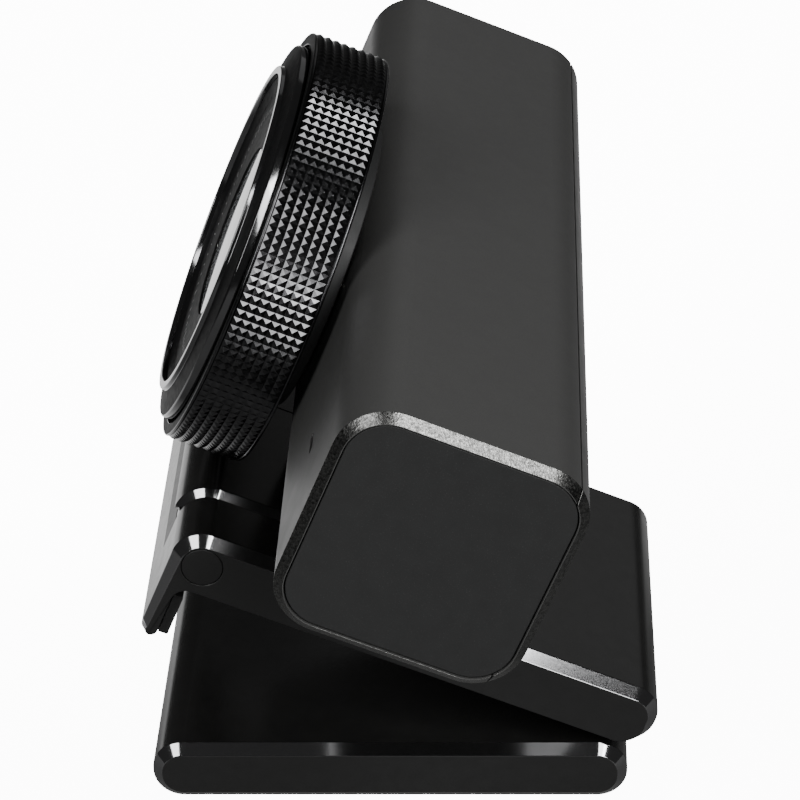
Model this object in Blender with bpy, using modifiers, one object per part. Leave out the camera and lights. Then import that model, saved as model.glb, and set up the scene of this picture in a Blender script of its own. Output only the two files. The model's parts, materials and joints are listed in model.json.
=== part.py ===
"""Bar-shaped desktop camera on a folding clip stand.

The stand is a slab base and a clip plate with a hooked lip, joined by a friction hinge
at the rear. A swing arm is hinged to the front of the clip plate and carries a swivel,
and the square camera bar screws down on the swivel. A knurled ring round the lens
focuses it.

Units are metres, +Z is up, the lens looks towards -Y and the bar runs along X. The
origin is the middle of the base's underside. Every piece above the base is placed in
the frame of the empty that it turns with: fold_axis, arm_axis, pan_axis, head_centre
and lens_axis.
"""

import math

import bmesh
import bpy
from mathutils import Matrix, Vector

MM = 0.001

# Base
BASE_DEPTH = 51.2 * MM
STAND_WIDTH = 40.8 * MM
SLAB_THICKNESS = 6.9 * MM
SLAB_EDGE_FLAT = 0.15 * MM
SLAB_END_CHAMFER = 1.1 * MM
FOOT_PROUD = 0.3 * MM
FOOT_THICKNESS = 0.8 * MM
FOOT_MARGIN = 2.2 * MM
FOOT_CORNER_RADIUS = 2.0 * MM
SOCKET_Y = 8.0 * MM
SOCKET_RADIUS = 3.175 * MM
SOCKET_WALL = 1.8 * MM
SOCKET_ROOF = 1.0 * MM

# Fold hinge between the base and the clip plate
FOLD_ANGLE = math.radians(23.0)
FOLD_GAP = 1.1 * MM
PIN_RADIUS = 1.5 * MM
FOLD_PIN_INSET = 3.2 * MM
LUG_WIDTH = 16.4 * MM
WASHER_THICKNESS = 0.5 * MM

# Clip plate and its lip
LIP_CLEARANCE = 0.65 * MM
LIP_THICKNESS = 2.0 * MM
LIP_DROP = 6.75 * MM
LIP_PAD_THICKNESS = 0.8 * MM
LIP_FILLET = 1.5 * MM
LIP_PAD_TIP_INSET = 0.3 * MM
GRIP_PAD_THICKNESS = 0.8 * MM
GRIP_PAD_PROUD = 0.3 * MM
PIN_CAP_RADIUS = 2.15 * MM
PIN_CAP_THICKNESS = 1.4 * MM

# Swing arm
ARM_WIDTH = 22.8 * MM
ARM_TAIL = 4.3 * MM
ARM_TAIL_RADIUS = 1.5 * MM
ARM_PROUD = 0.5 * MM
ARM_CHAMFER = 0.8 * MM
POCKET_FLOOR = 1.8 * MM
LIP_SCOOP_BELOW = 1.15 * MM
LIP_SCOOP_ANGLE = math.radians(20.0)

# Swivel
PAN_OFFSET = 15.2 * MM
BOSS_HEIGHT = 2.25 * MM
PUCK_RADIUS = 8.5 * MM
PUCK_CHAMFER = 0.6 * MM
PUCK_WEB = 0.9 * MM
PAN_WASHER_THICKNESS = 0.4 * MM
PAN_WASHER_INSET = 2.0 * MM
PUCK_PAD_THICKNESS = 0.85 * MM
STUD_RADIUS = 3.0 * MM
STUD_TIP_CHAMFER = 0.5 * MM
STUD_SHORT_OF_NUT = 0.45 * MM
STUD_FLANGE = 1.2 * MM
STUD_FLANGE_HEIGHT = 1.3 * MM
BOLT_HEAD_RADIUS = 2.6 * MM
BOLT_HEAD_HEIGHT = 1.25 * MM
BOLT_HEAD_RECESS = 0.1 * MM
BOLT_GRIP = 3.3 * MM

# Camera bar
BAR_LENGTH = 100.0 * MM
BAR_SECTION = 25.5 * MM
BAR_EDGE_RADIUS = 5.4 * MM
BAR_END_CHAMFER = 0.9 * MM
BAR_WALL = 1.6 * MM
REAR_COVER_THICKNESS = 2.1 * MM
CAP_RIM_FLAT = 0.1 * MM
CAP_THICKNESS = 1.4 * MM
CAP_SETBACK = 0.15 * MM
MIC_INSET = 12.7 * MM
MIC_SLIT = (3.4 * MM, 0.8 * MM)
MICROPHONE = (4.0 * MM, 1.2 * MM, 3.0 * MM)
NUT_WALL = 1.7 * MM
NUT_HEIGHT = 5.9 * MM
NUT_FLANGE = 1.5 * MM
NUT_FLANGE_HEIGHT = 1.2 * MM

# Lens and rings: radii, and distances forward of the middle of the bar
NECK_FLANGE = 1.3 * MM
NECK_LENGTH = 1.55 * MM
HOUSING_RADIUS = 14.2 * MM
HOUSING_BORE = 8.3 * MM
SPIGOT_WALL = 1.3 * MM
SPIGOT_LENGTH = 4.3 * MM
RING_RADIUS = 23.4 * MM
RING_CLEARANCE = 0.45 * MM
RING_BEVEL = 0.3 * MM
RING_BORDER_STEP = 0.3 * MM
RING_WIDTH = 8.95 * MM
RING_BORDER = 0.75 * MM
RING_FRONT_WALL = 1.45 * MM
RING_FRONT_DEPTH = 1.7 * MM
RIM_INSET = 3.45 * MM
RIM_THICKNESS = 0.9 * MM
RIM_HEIGHT = 0.95 * MM
RIM_BEVEL = 0.25 * MM
BEZEL_WEB = 0.5 * MM
BEZEL_BELOW_RIM = 0.4 * MM
GLASS_OVERLAP = 0.9 * MM
GLASS_THICKNESS = 0.8 * MM
CELL_WALL = 0.9 * MM
CELL_LENGTH = 9.5 * MM
CELL_TRAVEL = 1.0 * MM

# Lens elements: distance from the end of the cell, thickness at the rim, rise of a face
FRONT_LENS = (2.5 * MM, 1.0 * MM, 1.2 * MM)
REAR_LENS = (2.0 * MM, 0.8 * MM, 0.8 * MM)

# Electronics
BOARD_THICKNESS = 1.2 * MM
BOARD_END_SPACE = 6.0 * MM
BOARD_SIDE_SPACE = 1.65 * MM
MAIN_BOARD_Y = 3.2 * MM
SENSOR_BOARD_Y = -3.8 * MM
CHASSIS_MARGIN = (1.0 * MM, 0.8 * MM)
CHASSIS_THICKNESS = 1.2 * MM
CHASSIS_Y = 0.4 * MM
SENSOR_BOARD_LENGTH = 22.0 * MM
SENSOR_BOARD_SPACE = 0.85 * MM
SENSOR = (8.0 * MM, 6.0 * MM, 1.0 * MM)
FILTER_MARGIN = 0.5 * MM
FILTER_THICKNESS = 0.5 * MM
PROCESSOR = (12.0 * MM, 12.0 * MM, 1.2 * MM)
PROCESSOR_X = -22.0 * MM
SPREADER_LENGTH = 24.0 * MM
SPREADER_THICKNESS = 2.0 * MM
SPREADER_SIDE_SPACE = 1.1 * MM
USB_OUTER = (9.0 * MM, 3.3 * MM)
USB_WALL = 0.35 * MM
USB_BACK_WALL = 1.25 * MM
USB_INSET = 0.6 * MM
NUT_NOTCH_MARGIN = 2.0 * MM
POST_RADIUS = 2.2 * MM
BOARD_SCREW_INSET = (4.0 * MM, 3.5 * MM)
HOUSING_SCREW_SPACE = 3.05 * MM
HOUSING_SCREW_ANGLE = math.radians(19.87)
SCREW_TIP_SPACE = 0.3 * MM
SCREW_RADIUS = 0.9 * MM
SCREW_HEAD_RADIUS = 1.8 * MM
SCREW_HEAD_HEIGHT = 1.2 * MM

# Clearances
GAP = 0.3 * MM
SEAM = 0.2 * MM
RUN = 0.4 * MM
OVERCUT = 2.0 * MM
NEARLY = 0.01 * MM

# Share of a slot's half height that rounds its corners, just short of a full round end
ROUND_END = 0.97

# Worked out from the sizes above
HALF_SLAB = SLAB_THICKNESS / 2
SLAB_EDGE_RADIUS = HALF_SLAB - SLAB_EDGE_FLAT
SLAB_TOP = FOOT_PROUD + SLAB_THICKNESS
FOOT_TOP = FOOT_THICKNESS + GAP
SOCKET_TOP = SLAB_TOP - SOCKET_ROOF - GAP
BASE_MID_Z = FOOT_PROUD + HALF_SLAB
FOLD_Y = BASE_DEPTH / 2 - HALF_SLAB
PLATE_MID = SLAB_THICKNESS + FOLD_GAP
CLIP_REACH = BASE_DEPTH - HALF_SLAB + LIP_CLEARANCE + LIP_PAD_THICKNESS + GAP + LIP_THICKNESS
LIP_SCOOP_DROP = HALF_SLAB + LIP_SCOOP_BELOW
ARM_LENGTH = PAN_OFFSET + PUCK_RADIUS + ARM_TAIL
BARREL_RADIUS = SLAB_EDGE_RADIUS
ARM_RADIUS = HALF_SLAB + ARM_PROUD
ARM_CLEAR_RADIUS = ARM_RADIUS + RUN
PIN_BORE = PIN_RADIUS + GAP
ARM_UNDERSIDE = -HALF_SLAB + POCKET_FLOOR + GAP
BOSS_TOP = ARM_RADIUS + BOSS_HEIGHT
BOLT_LOW = ARM_UNDERSIDE + BOLT_HEAD_RECESS
PUCK_BASE = BOSS_TOP + 2 * GAP + PAN_WASHER_THICKNESS
BOLT_TOP = PUCK_BASE + BOLT_GRIP
HALF_BAR = BAR_SECTION / 2
LEAST_PUCK_TOP = BOLT_TOP + PUCK_WEB + STUD_FLANGE_HEIGHT + 3 * GAP
HEAD_OVER_PUCK = 2 * GAP + PUCK_PAD_THICKNESS + HALF_BAR
HEAD_HEIGHT = max(ARM_RADIUS + RING_CLEARANCE + RING_RADIUS, LEAST_PUCK_TOP + HEAD_OVER_PUCK)
PUCK_TOP = HEAD_HEIGHT - HEAD_OVER_PUCK
STUD_FLANGE_RADIUS = STUD_RADIUS + STUD_FLANGE
STUD_LENGTH = 3 * GAP + PUCK_PAD_THICKNESS + NUT_HEIGHT - STUD_SHORT_OF_NUT
NUT_RADIUS = STUD_RADIUS + GAP + NUT_WALL
CAVITY = BAR_SECTION - 2 * BAR_WALL
COVER_FRONT = HALF_BAR - REAR_COVER_THICKNESS
MIC_X = BAR_LENGTH / 2 - MIC_INSET
CAP_RIM = BAR_END_CHAMFER + CAP_RIM_FLAT
CAP_OUTLINE = BAR_SECTION - 2 * CAP_RIM - 2 * SEAM
NECK_RADIUS = HOUSING_RADIUS + NECK_FLANGE
SPIGOT_RADIUS = HOUSING_BORE + SPIGOT_WALL
CELL_RADIUS = HOUSING_BORE - RUN
GLASS_RADIUS = HOUSING_BORE + GLASS_OVERLAP
NECK_BACK = HALF_BAR + GAP
NECK_FRONT = NECK_BACK + NECK_LENGTH
RING_BACK = NECK_FRONT + GAP
RING_FRONT = RING_BACK + RING_WIDTH
RING_FLOOR = RING_FRONT - RING_FRONT_DEPTH
FRONT_RING_RADIUS = RING_RADIUS - RING_FRONT_WALL - RUN
RIM_RADIUS = FRONT_RING_RADIUS - RIM_INSET
FRONT_FLOOR = RING_FLOOR + GAP
FRONT_STEP = RING_FRONT + RUN
RIM_FRONT = FRONT_STEP + RIM_HEIGHT
BEZEL_RADIUS = RIM_RADIUS - RIM_THICKNESS - SEAM
BEZEL_SEAT = FRONT_FLOOR + BEZEL_WEB
GLASS_BACK = BEZEL_SEAT + SEAM
GLASS_FRONT = GLASS_BACK + GLASS_THICKNESS
HALF_BOARD = (BAR_LENGTH / 2 - BOARD_END_SPACE, CAVITY / 2 - BOARD_SIDE_SPACE)
BOARD_SCREWS = (HALF_BOARD[0] - BOARD_SCREW_INSET[0], HALF_BOARD[1] - BOARD_SCREW_INSET[1])
HOUSING_SCREW_CIRCLE = SPIGOT_RADIUS + HOUSING_SCREW_SPACE
HOUSING_SCREWS = (HOUSING_SCREW_CIRCLE * math.cos(HOUSING_SCREW_ANGLE),
                  HOUSING_SCREW_CIRCLE * math.sin(HOUSING_SCREW_ANGLE))

ROUND = 32
FINE_ROUND = 48
SMALL_ROUND = 16
EDGE_STEPS = 4


# Scene, collections and materials

def clear_scene():
    """Remove every object that is already there."""
    for old in list(bpy.data.objects):
        bpy.data.objects.remove(old, do_unlink=True)


def new_collection(name):
    """A collection linked into the scene."""
    collection = bpy.data.collections.new(name)
    bpy.context.scene.collection.children.link(collection)
    return collection


def material(name, colour, roughness, metallic=0.0, transmission=0.0):
    """A Principled BSDF material."""
    made = bpy.data.materials.new(name)
    made.use_nodes = True
    shader = made.node_tree.nodes["Principled BSDF"]
    shader.inputs["Base Color"].default_value = (*colour, 1.0)
    shader.inputs["Roughness"].default_value = roughness
    shader.inputs["Metallic"].default_value = metallic
    shader.inputs["Transmission Weight"].default_value = transmission
    return made


clear_scene()
PARTS = new_collection("bar_camera_on_clip_stand")
CUTTERS = new_collection("cutters")

SATIN_BLACK = material("satin_black_metal", (0.022, 0.022, 0.023), 0.38, 0.5)
GLOSS_BLACK = material("gloss_black", (0.008, 0.008, 0.009), 0.08)
STAND_BLACK = material("stand_black", (0.012, 0.012, 0.012), 0.22)
RUBBER = material("rubber", (0.015, 0.015, 0.015), 0.85)
STEEL = material("steel", (0.55, 0.55, 0.56), 0.3, 1.0)
BRASS = material("brass", (0.70, 0.52, 0.22), 0.3, 1.0)
BOARD_GREEN = material("circuit_board", (0.02, 0.12, 0.05), 0.5)
CHIP_BLACK = material("chip_black", (0.02, 0.02, 0.02), 0.6)
ALUMINIUM = material("aluminium", (0.75, 0.75, 0.76), 0.35, 1.0)
LENS_GLASS = material("lens_glass", (0.75, 0.80, 0.85), 0.02, 0.0, 0.9)


# Frames that pieces are placed in

def empty(name, parent, location, rotation=(0.0, 0.0, 0.0)):
    """An axis that pieces are parented to."""
    made = bpy.data.objects.new(name, None)
    made.empty_display_size = 10 * MM
    made.parent = parent
    made.location = location
    made.rotation_euler = rotation
    PARTS.objects.link(made)
    return made


FOLD_AXIS = empty("fold_axis", None, (0, FOLD_Y, BASE_MID_Z), (-FOLD_ANGLE, 0, 0))
ARM_AXIS = empty("arm_axis", FOLD_AXIS, (0, HALF_SLAB - CLIP_REACH, PLATE_MID))
PAN_AXIS = empty("pan_axis", ARM_AXIS, (0, PAN_OFFSET, 0))
HEAD_CENTRE = empty("head_centre", PAN_AXIS, (0, 0, HEAD_HEIGHT))
LENS_AXIS = empty("lens_axis", HEAD_CENTRE, (0, 0, 0), (math.radians(90), 0, 0))


# Shapes

def finish(name, mesh, parent, look, cutter=False):
    """Wrap a mesh in an object in its frame."""
    made = bpy.data.objects.new(name, mesh)
    made.parent = parent
    if cutter:
        made.hide_render = True
        made.display_type = "WIRE"
        CUTTERS.objects.link(made)
        return made
    made.data.materials.append(look)
    made.data.shade_smooth()
    made.data.set_sharp_from_angle(angle=math.radians(35))
    PARTS.objects.link(made)
    return made


def mesh_from(name, shape):
    """Turn a bmesh into a mesh and free it."""
    bmesh.ops.recalc_face_normals(shape, faces=shape.faces)
    mesh = bpy.data.meshes.new(name)
    shape.to_mesh(mesh)
    shape.free()
    return mesh


def block(name, low, high, parent, look=None, radius=0.0, axis=0, chamfer=0.0, steps=EDGE_STEPS):
    """A box between two corners.

    The edges along one axis can be rounded, and the rims of the two faces across that
    axis can be chamfered.
    """
    shape = bmesh.new()
    bmesh.ops.create_cube(shape, size=1.0)
    low, high = Vector(low), Vector(high)
    bmesh.ops.scale(shape, vec=high - low, verts=shape.verts)
    bmesh.ops.translate(shape, vec=(high + low) / 2, verts=shape.verts)
    if radius:
        along = [e for e in shape.edges if across(e, axis)]
        bmesh.ops.bevel(shape, geom=along, offset=radius, segments=steps, profile=0.5,
                        affect="EDGES", clamp_overlap=False)
    if chamfer:
        chamfer_rims(shape, axis, chamfer)
    return finish(name, mesh_from(name, shape), parent, look, look is None)


def across(edge, axis):
    """Whether an edge runs along an axis."""
    span = edge.verts[1].co - edge.verts[0].co
    return abs(span[axis]) > 0.99 * span.length


def chamfer_rims(shape, axis, width, chosen=None):
    """Chamfer the rims of the two faces across an axis, or the chosen edges of them."""
    end = max(v.co[axis] for v in shape.verts)
    start = min(v.co[axis] for v in shape.verts)
    rims = []
    for edge in shape.edges:
        places = [v.co[axis] for v in edge.verts]
        at_end = all(end - p < NEARLY for p in places)
        at_start = all(p - start < NEARLY for p in places)
        if not (at_end or at_start):
            continue
        middle = (edge.verts[0].co + edge.verts[1].co) / 2
        if chosen is None or chosen(middle):
            rims.append(edge)
    bmesh.ops.bevel(shape, geom=rims, offset=width, segments=1, affect="EDGES",
                    clamp_overlap=False)


def rod(name, radius, start, end, parent, look=None, axis=2, centre=(0, 0, 0), steps=ROUND):
    """A cylinder along one axis, from start to end."""
    shape = bmesh.new()
    bmesh.ops.create_cone(shape, cap_ends=True, segments=steps, radius1=radius, radius2=radius,
                          depth=end - start)
    bmesh.ops.translate(shape, vec=(0, 0, (start + end) / 2), verts=shape.verts)
    turn = {0: Matrix.Rotation(math.radians(90), 4, "Y"),
            1: Matrix.Rotation(math.radians(-90), 4, "X"),
            2: Matrix.Identity(4)}[axis]
    bmesh.ops.transform(shape, matrix=Matrix.Translation(centre) @ turn, verts=shape.verts)
    return finish(name, mesh_from(name, shape), parent, look, look is None)


def turned(name, profile, parent, look, steps=ROUND, centre=(0, 0, 0)):
    """A closed profile of (radius, height) points turned about the local Z axis.

    The points run down the outer side, from top to bottom, and back up the inner side.
    """
    mesh = bpy.data.meshes.new(name)
    points = [(radius, 0.0, height) for radius, height in profile]
    edges = [(i, (i + 1) % len(points)) for i in range(len(points))]
    mesh.from_pydata(points, edges, [])
    made = bpy.data.objects.new(name, mesh)
    made.parent = parent
    made.location = centre
    made.data.materials.append(look)
    PARTS.objects.link(made)
    screw = made.modifiers.new("turn", "SCREW")
    screw.axis = "Z"
    screw.angle = math.tau
    screw.steps = steps
    screw.render_steps = steps
    screw.use_merge_vertices = True
    screw.merge_threshold = 0.00001
    screw.use_smooth_shade = False
    return made


def arc(centre, radius, start, end, steps):
    """Points on an arc between two angles in degrees, both ends included."""
    points = []
    for i in range(steps + 1):
        angle = math.radians(start + (end - start) * i / steps)
        points.append((centre[0] + radius * math.cos(angle), centre[1] + radius * math.sin(angle)))
    return points


def side_profile(name, outline, width, parent, look, chamfer=0.0, chosen=None):
    """A closed outline in the YZ plane, extruded to a width along X and chamfered."""
    curve = bpy.data.curves.new(name, "CURVE")
    curve.dimensions = "2D"
    curve.fill_mode = "BOTH"
    curve.extrude = width / 2
    spline = curve.splines.new("POLY")
    spline.points.add(len(outline) - 1)
    for point, place in zip(spline.points, outline):
        point.co = (place[0], place[1], 0.0, 1.0)
    spline.use_cyclic_u = True
    drawn = bpy.data.objects.new(name + "_outline", curve)
    PARTS.objects.link(drawn)
    depsgraph = bpy.context.evaluated_depsgraph_get()
    mesh = bpy.data.meshes.new_from_object(drawn.evaluated_get(depsgraph))
    bpy.data.objects.remove(drawn)
    bpy.data.curves.remove(curve)
    shape = bmesh.new()
    shape.from_mesh(mesh)
    bpy.data.meshes.remove(mesh)
    bmesh.ops.remove_doubles(shape, verts=shape.verts, dist=NEARLY)
    bmesh.ops.dissolve_limit(shape, angle_limit=math.radians(0.5), verts=shape.verts,
                             edges=shape.edges)
    turn = Matrix(((0, 0, 1, 0), (1, 0, 0, 0), (0, 1, 0, 0), (0, 0, 0, 1)))
    bmesh.ops.transform(shape, matrix=turn, verts=shape.verts)
    if chamfer:
        chamfer_rims(shape, 0, chamfer, chosen)
    return finish(name, mesh_from(name, shape), parent, look)


def combine(target, tool, operation="DIFFERENCE"):
    """Cut a tool from a piece, or join it on."""
    change = target.modifiers.new(tool.name, "BOOLEAN")
    change.operation = operation
    change.solver = "EXACT"
    change.object = tool
    return change


def cut(target, *tools):
    """Cut several tools from one piece."""
    for tool in tools:
        combine(target, tool)


def both_sides():
    """The two ends of the object: a name and a sign along X."""
    return (("left", -1), ("right", 1))


# The base

def make_base():
    """The slab, its rubber foot, the tripod socket and the fold pin."""
    half_width = STAND_WIDTH / 2
    slab = block("base_slab", (-half_width, -BASE_DEPTH / 2, FOOT_PROUD),
                 (half_width, BASE_DEPTH / 2, SLAB_TOP), None, STAND_BLACK,
                 SLAB_EDGE_RADIUS, 0, SLAB_END_CHAMFER)
    notch_half = LUG_WIDTH / 2 + 2 * GAP + WASHER_THICKNESS
    notch_y = FOLD_Y - BARREL_RADIUS - RUN
    notch = block("hinge_notch", (-notch_half, notch_y, -OVERCUT),
                  (notch_half, BASE_DEPTH, SLAB_TOP + OVERCUT), None)
    pin_reach = half_width - FOLD_PIN_INSET
    bore = rod("fold_pin_bore", PIN_BORE, -pin_reach - GAP, pin_reach + GAP, FOLD_AXIS, axis=0,
               steps=SMALL_ROUND)
    foot_low = (-half_width + FOOT_MARGIN, -BASE_DEPTH / 2 + FOOT_MARGIN)
    foot_high = (half_width - FOOT_MARGIN, notch_y - FOOT_MARGIN)
    recess = block("foot_recess", (foot_low[0] - GAP, foot_low[1] - GAP, -OVERCUT),
                   (foot_high[0] + GAP, foot_high[1] + GAP, FOOT_TOP), None, None,
                   FOOT_CORNER_RADIUS, 2)
    outer = SOCKET_RADIUS + SOCKET_WALL
    pocket = rod("socket_pocket", outer + GAP, 0, SOCKET_TOP + GAP, None, centre=(0, SOCKET_Y, 0))
    cut(slab, notch, bore, recess, pocket)

    foot = block("foot_pad", (*foot_low, 0), (*foot_high, FOOT_THICKNESS), None, RUBBER,
                 FOOT_CORNER_RADIUS, 2)
    cut(foot, rod("foot_hole", outer, -OVERCUT, OVERCUT, None, centre=(0, SOCKET_Y, 0)))

    turned("tripod_socket", [(outer, SOCKET_TOP), (outer, FOOT_TOP), (SOCKET_RADIUS, FOOT_TOP),
                             (SOCKET_RADIUS, SOCKET_TOP)],
           None, BRASS, centre=(0, SOCKET_Y, 0))
    rod("fold_pin", PIN_RADIUS, -pin_reach, pin_reach, FOLD_AXIS, STEEL, axis=0,
        steps=SMALL_ROUND)
    for side, sign in both_sides():
        middle = sign * (LUG_WIDTH / 2 + GAP + WASHER_THICKNESS / 2)
        start, end = middle - WASHER_THICKNESS / 2, middle + WASHER_THICKNESS / 2
        washer = rod(f"fold_washer_{side}", BARREL_RADIUS - SEAM, start, end, FOLD_AXIS, STEEL,
                     axis=0, steps=SMALL_ROUND)
        cut(washer, bore)


# The clip plate

def clip_outline():
    """The plate with its rounded rear end and the lip that hooks down at the front."""
    low, high = PLATE_MID - HALF_SLAB, PLATE_MID + HALF_SLAB
    rear = HALF_SLAB - SLAB_EDGE_RADIUS
    lip_inside = -CLIP_REACH + LIP_THICKNESS
    lip_tip = low - LIP_DROP
    tip_radius = LIP_THICKNESS / 2
    outline = arc((rear, low + SLAB_EDGE_RADIUS), SLAB_EDGE_RADIUS, 0, -90, EDGE_STEPS)
    outline += arc((lip_inside + LIP_FILLET, low - LIP_FILLET), LIP_FILLET, 90, 180, 4)
    outline += [(lip_inside, lip_tip + tip_radius / 2)]
    outline += arc((-CLIP_REACH + tip_radius, lip_tip + tip_radius), tip_radius, 270, 180, 4)
    outline += arc((-CLIP_REACH + HALF_SLAB, PLATE_MID), HALF_SLAB, 180, 90, 8)
    outline += arc((rear, high - SLAB_EDGE_RADIUS), SLAB_EDGE_RADIUS, 90, 0, EDGE_STEPS)
    return outline


def on_show(point):
    """Whether a rim edge is on the top, the rear or the front of the plate."""
    on_top = point.z > PLATE_MID
    on_front = point.y < -CLIP_REACH + NEARLY
    on_rear = point.y > 0
    return on_top or on_front or on_rear


def make_clip():
    """The clip plate, its pads, and the pin and caps of the swing arm's hinge."""
    half_width = STAND_WIDTH / 2
    low = PLATE_MID - HALF_SLAB
    plate = side_profile("clip_plate", clip_outline(), STAND_WIDTH, FOLD_AXIS, STAND_BLACK,
                         SLAB_END_CHAMFER, on_show)
    lug = block("hinge_lug", (-LUG_WIDTH / 2, -BARREL_RADIUS, -BARREL_RADIUS),
                (LUG_WIDTH / 2, BARREL_RADIUS, PLATE_MID), FOLD_AXIS, None,
                BARREL_RADIUS - NEARLY, 0)
    combine(plate, lug, "UNION")
    fold_bore = rod("lug_bore", PIN_BORE, -half_width, half_width, FOLD_AXIS, axis=0,
                    steps=SMALL_ROUND)

    slot_half = ARM_WIDTH / 2 + GAP
    pocket = block("arm_pocket", (-slot_half, 0, -HALF_SLAB + POCKET_FLOOR),
                   (slot_half, ARM_LENGTH + GAP, HALF_SLAB + OVERCUT), ARM_AXIS)
    barrel = rod("arm_barrel_clearance", ARM_CLEAR_RADIUS, -slot_half, slot_half, ARM_AXIS, axis=0)
    scoop = block("lip_scoop", (-slot_half, -HALF_SLAB, 0), (slot_half, 0, PLATE_MID), FOLD_AXIS)
    scoop.location = (0, -CLIP_REACH, PLATE_MID - LIP_SCOOP_DROP)
    scoop.rotation_euler = (-LIP_SCOOP_ANGLE, 0, 0)
    pin_bore = rod("arm_pin_bore", PIN_BORE, -half_width - OVERCUT, half_width + OVERCUT,
                   ARM_AXIS, axis=0, steps=SMALL_ROUND)
    cut(plate, fold_bore, pocket, barrel, scoop, pin_bore)
    cap_inside = half_width - PIN_CAP_THICKNESS
    for side, sign in both_sides():
        start, end = sorted((sign * (cap_inside - GAP), sign * (half_width + OVERCUT)))
        seat = rod(f"pin_cap_seat_{side}", PIN_CAP_RADIUS + SEAM / 2, start, end, ARM_AXIS,
                   axis=0, steps=FINE_ROUND // 2)
        cut(plate, seat)
        start, end = sorted((sign * cap_inside, sign * half_width))
        rod(f"arm_pin_cap_{side}", PIN_CAP_RADIUS, start, end, ARM_AXIS, STAND_BLACK, axis=0,
            steps=FINE_ROUND // 2)
    pin_reach = cap_inside - GAP
    rod("arm_pin", PIN_RADIUS, -pin_reach, pin_reach, ARM_AXIS, STEEL, axis=0, steps=SMALL_ROUND)

    pad_half = half_width - FOOT_MARGIN
    pad_rear = -BARREL_RADIUS - FOOT_MARGIN
    pad_front = -CLIP_REACH + HALF_SLAB + ARM_CLEAR_RADIUS + RUN
    pad_low = low - GRIP_PAD_PROUD
    pad_top = pad_low + GRIP_PAD_THICKNESS
    recess = block("grip_pad_recess", (-pad_half - GAP, pad_front - GAP, pad_low - OVERCUT),
                   (pad_half + GAP, pad_rear + GAP, pad_top + GAP), FOLD_AXIS)
    cut(plate, recess)
    block("grip_pad", (-pad_half, pad_front, pad_low), (pad_half, pad_rear, pad_top), FOLD_AXIS,
          RUBBER)
    pad_face = -CLIP_REACH + LIP_THICKNESS + GAP
    lip_tip = low - LIP_DROP
    block("lip_pad", (-half_width + SLAB_END_CHAMFER, pad_face, lip_tip + LIP_PAD_TIP_INSET),
          (half_width - SLAB_END_CHAMFER, pad_face + LIP_PAD_THICKNESS, low - LIP_FILLET),
          FOLD_AXIS, RUBBER)


# The swing arm

def arm_outline():
    """The arm's side view: a barrel round the pin, and a flat tongue behind it."""
    meets = -math.degrees(math.asin(-ARM_UNDERSIDE / HALF_SLAB))
    outline = arc((0, 0), ARM_RADIUS, 90, 180, 8)
    outline += arc((0, 0), HALF_SLAB, 180, 360 + meets, 12)
    tail = ARM_LENGTH - ARM_TAIL_RADIUS
    outline += arc((tail, ARM_UNDERSIDE + ARM_TAIL_RADIUS), ARM_TAIL_RADIUS, -90, 0, 3)
    outline += arc((tail, ARM_RADIUS - ARM_TAIL_RADIUS), ARM_TAIL_RADIUS, 0, 90, 3)
    return outline


def make_arm():
    """The swing arm with its swivel boss, and the bolt and washer of the swivel."""
    arm = side_profile("swing_arm", arm_outline(), ARM_WIDTH, ARM_AXIS, STAND_BLACK, ARM_CHAMFER,
                       lambda point: point.z > ARM_UNDERSIDE + GAP or point.y < -HALF_SLAB)
    boss = rod("swivel_boss", PUCK_RADIUS, ARM_RADIUS - GAP, BOSS_TOP, PAN_AXIS)
    combine(arm, boss, "UNION")
    pin_bore = rod("barrel_bore", PIN_BORE, -ARM_WIDTH, ARM_WIDTH, ARM_AXIS, axis=0,
                   steps=SMALL_ROUND)
    head_top = BOLT_LOW + BOLT_HEAD_HEIGHT
    bolt_bore = rod("bolt_bore", PIN_BORE, ARM_UNDERSIDE - OVERCUT, BOSS_TOP + OVERCUT, PAN_AXIS,
                    steps=SMALL_ROUND)
    bolt_seat = rod("bolt_seat", BOLT_HEAD_RADIUS + GAP, ARM_UNDERSIDE - OVERCUT, head_top + GAP,
                    PAN_AXIS, steps=SMALL_ROUND)
    cut(arm, pin_bore, bolt_bore, bolt_seat)
    turned("pan_bolt", [(0.0, BOLT_TOP), (PIN_RADIUS, BOLT_TOP), (PIN_RADIUS, head_top),
                        (BOLT_HEAD_RADIUS, head_top), (BOLT_HEAD_RADIUS, BOLT_LOW),
                        (0.0, BOLT_LOW)],
           PAN_AXIS, STEEL, SMALL_ROUND)
    washer_low = BOSS_TOP + GAP
    washer_top = washer_low + PAN_WASHER_THICKNESS
    outer = PUCK_RADIUS - PAN_WASHER_INSET
    turned("pan_washer", [(outer, washer_top), (outer, washer_low), (PIN_BORE, washer_low),
                          (PIN_BORE, washer_top)], PAN_AXIS, STEEL)


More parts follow.
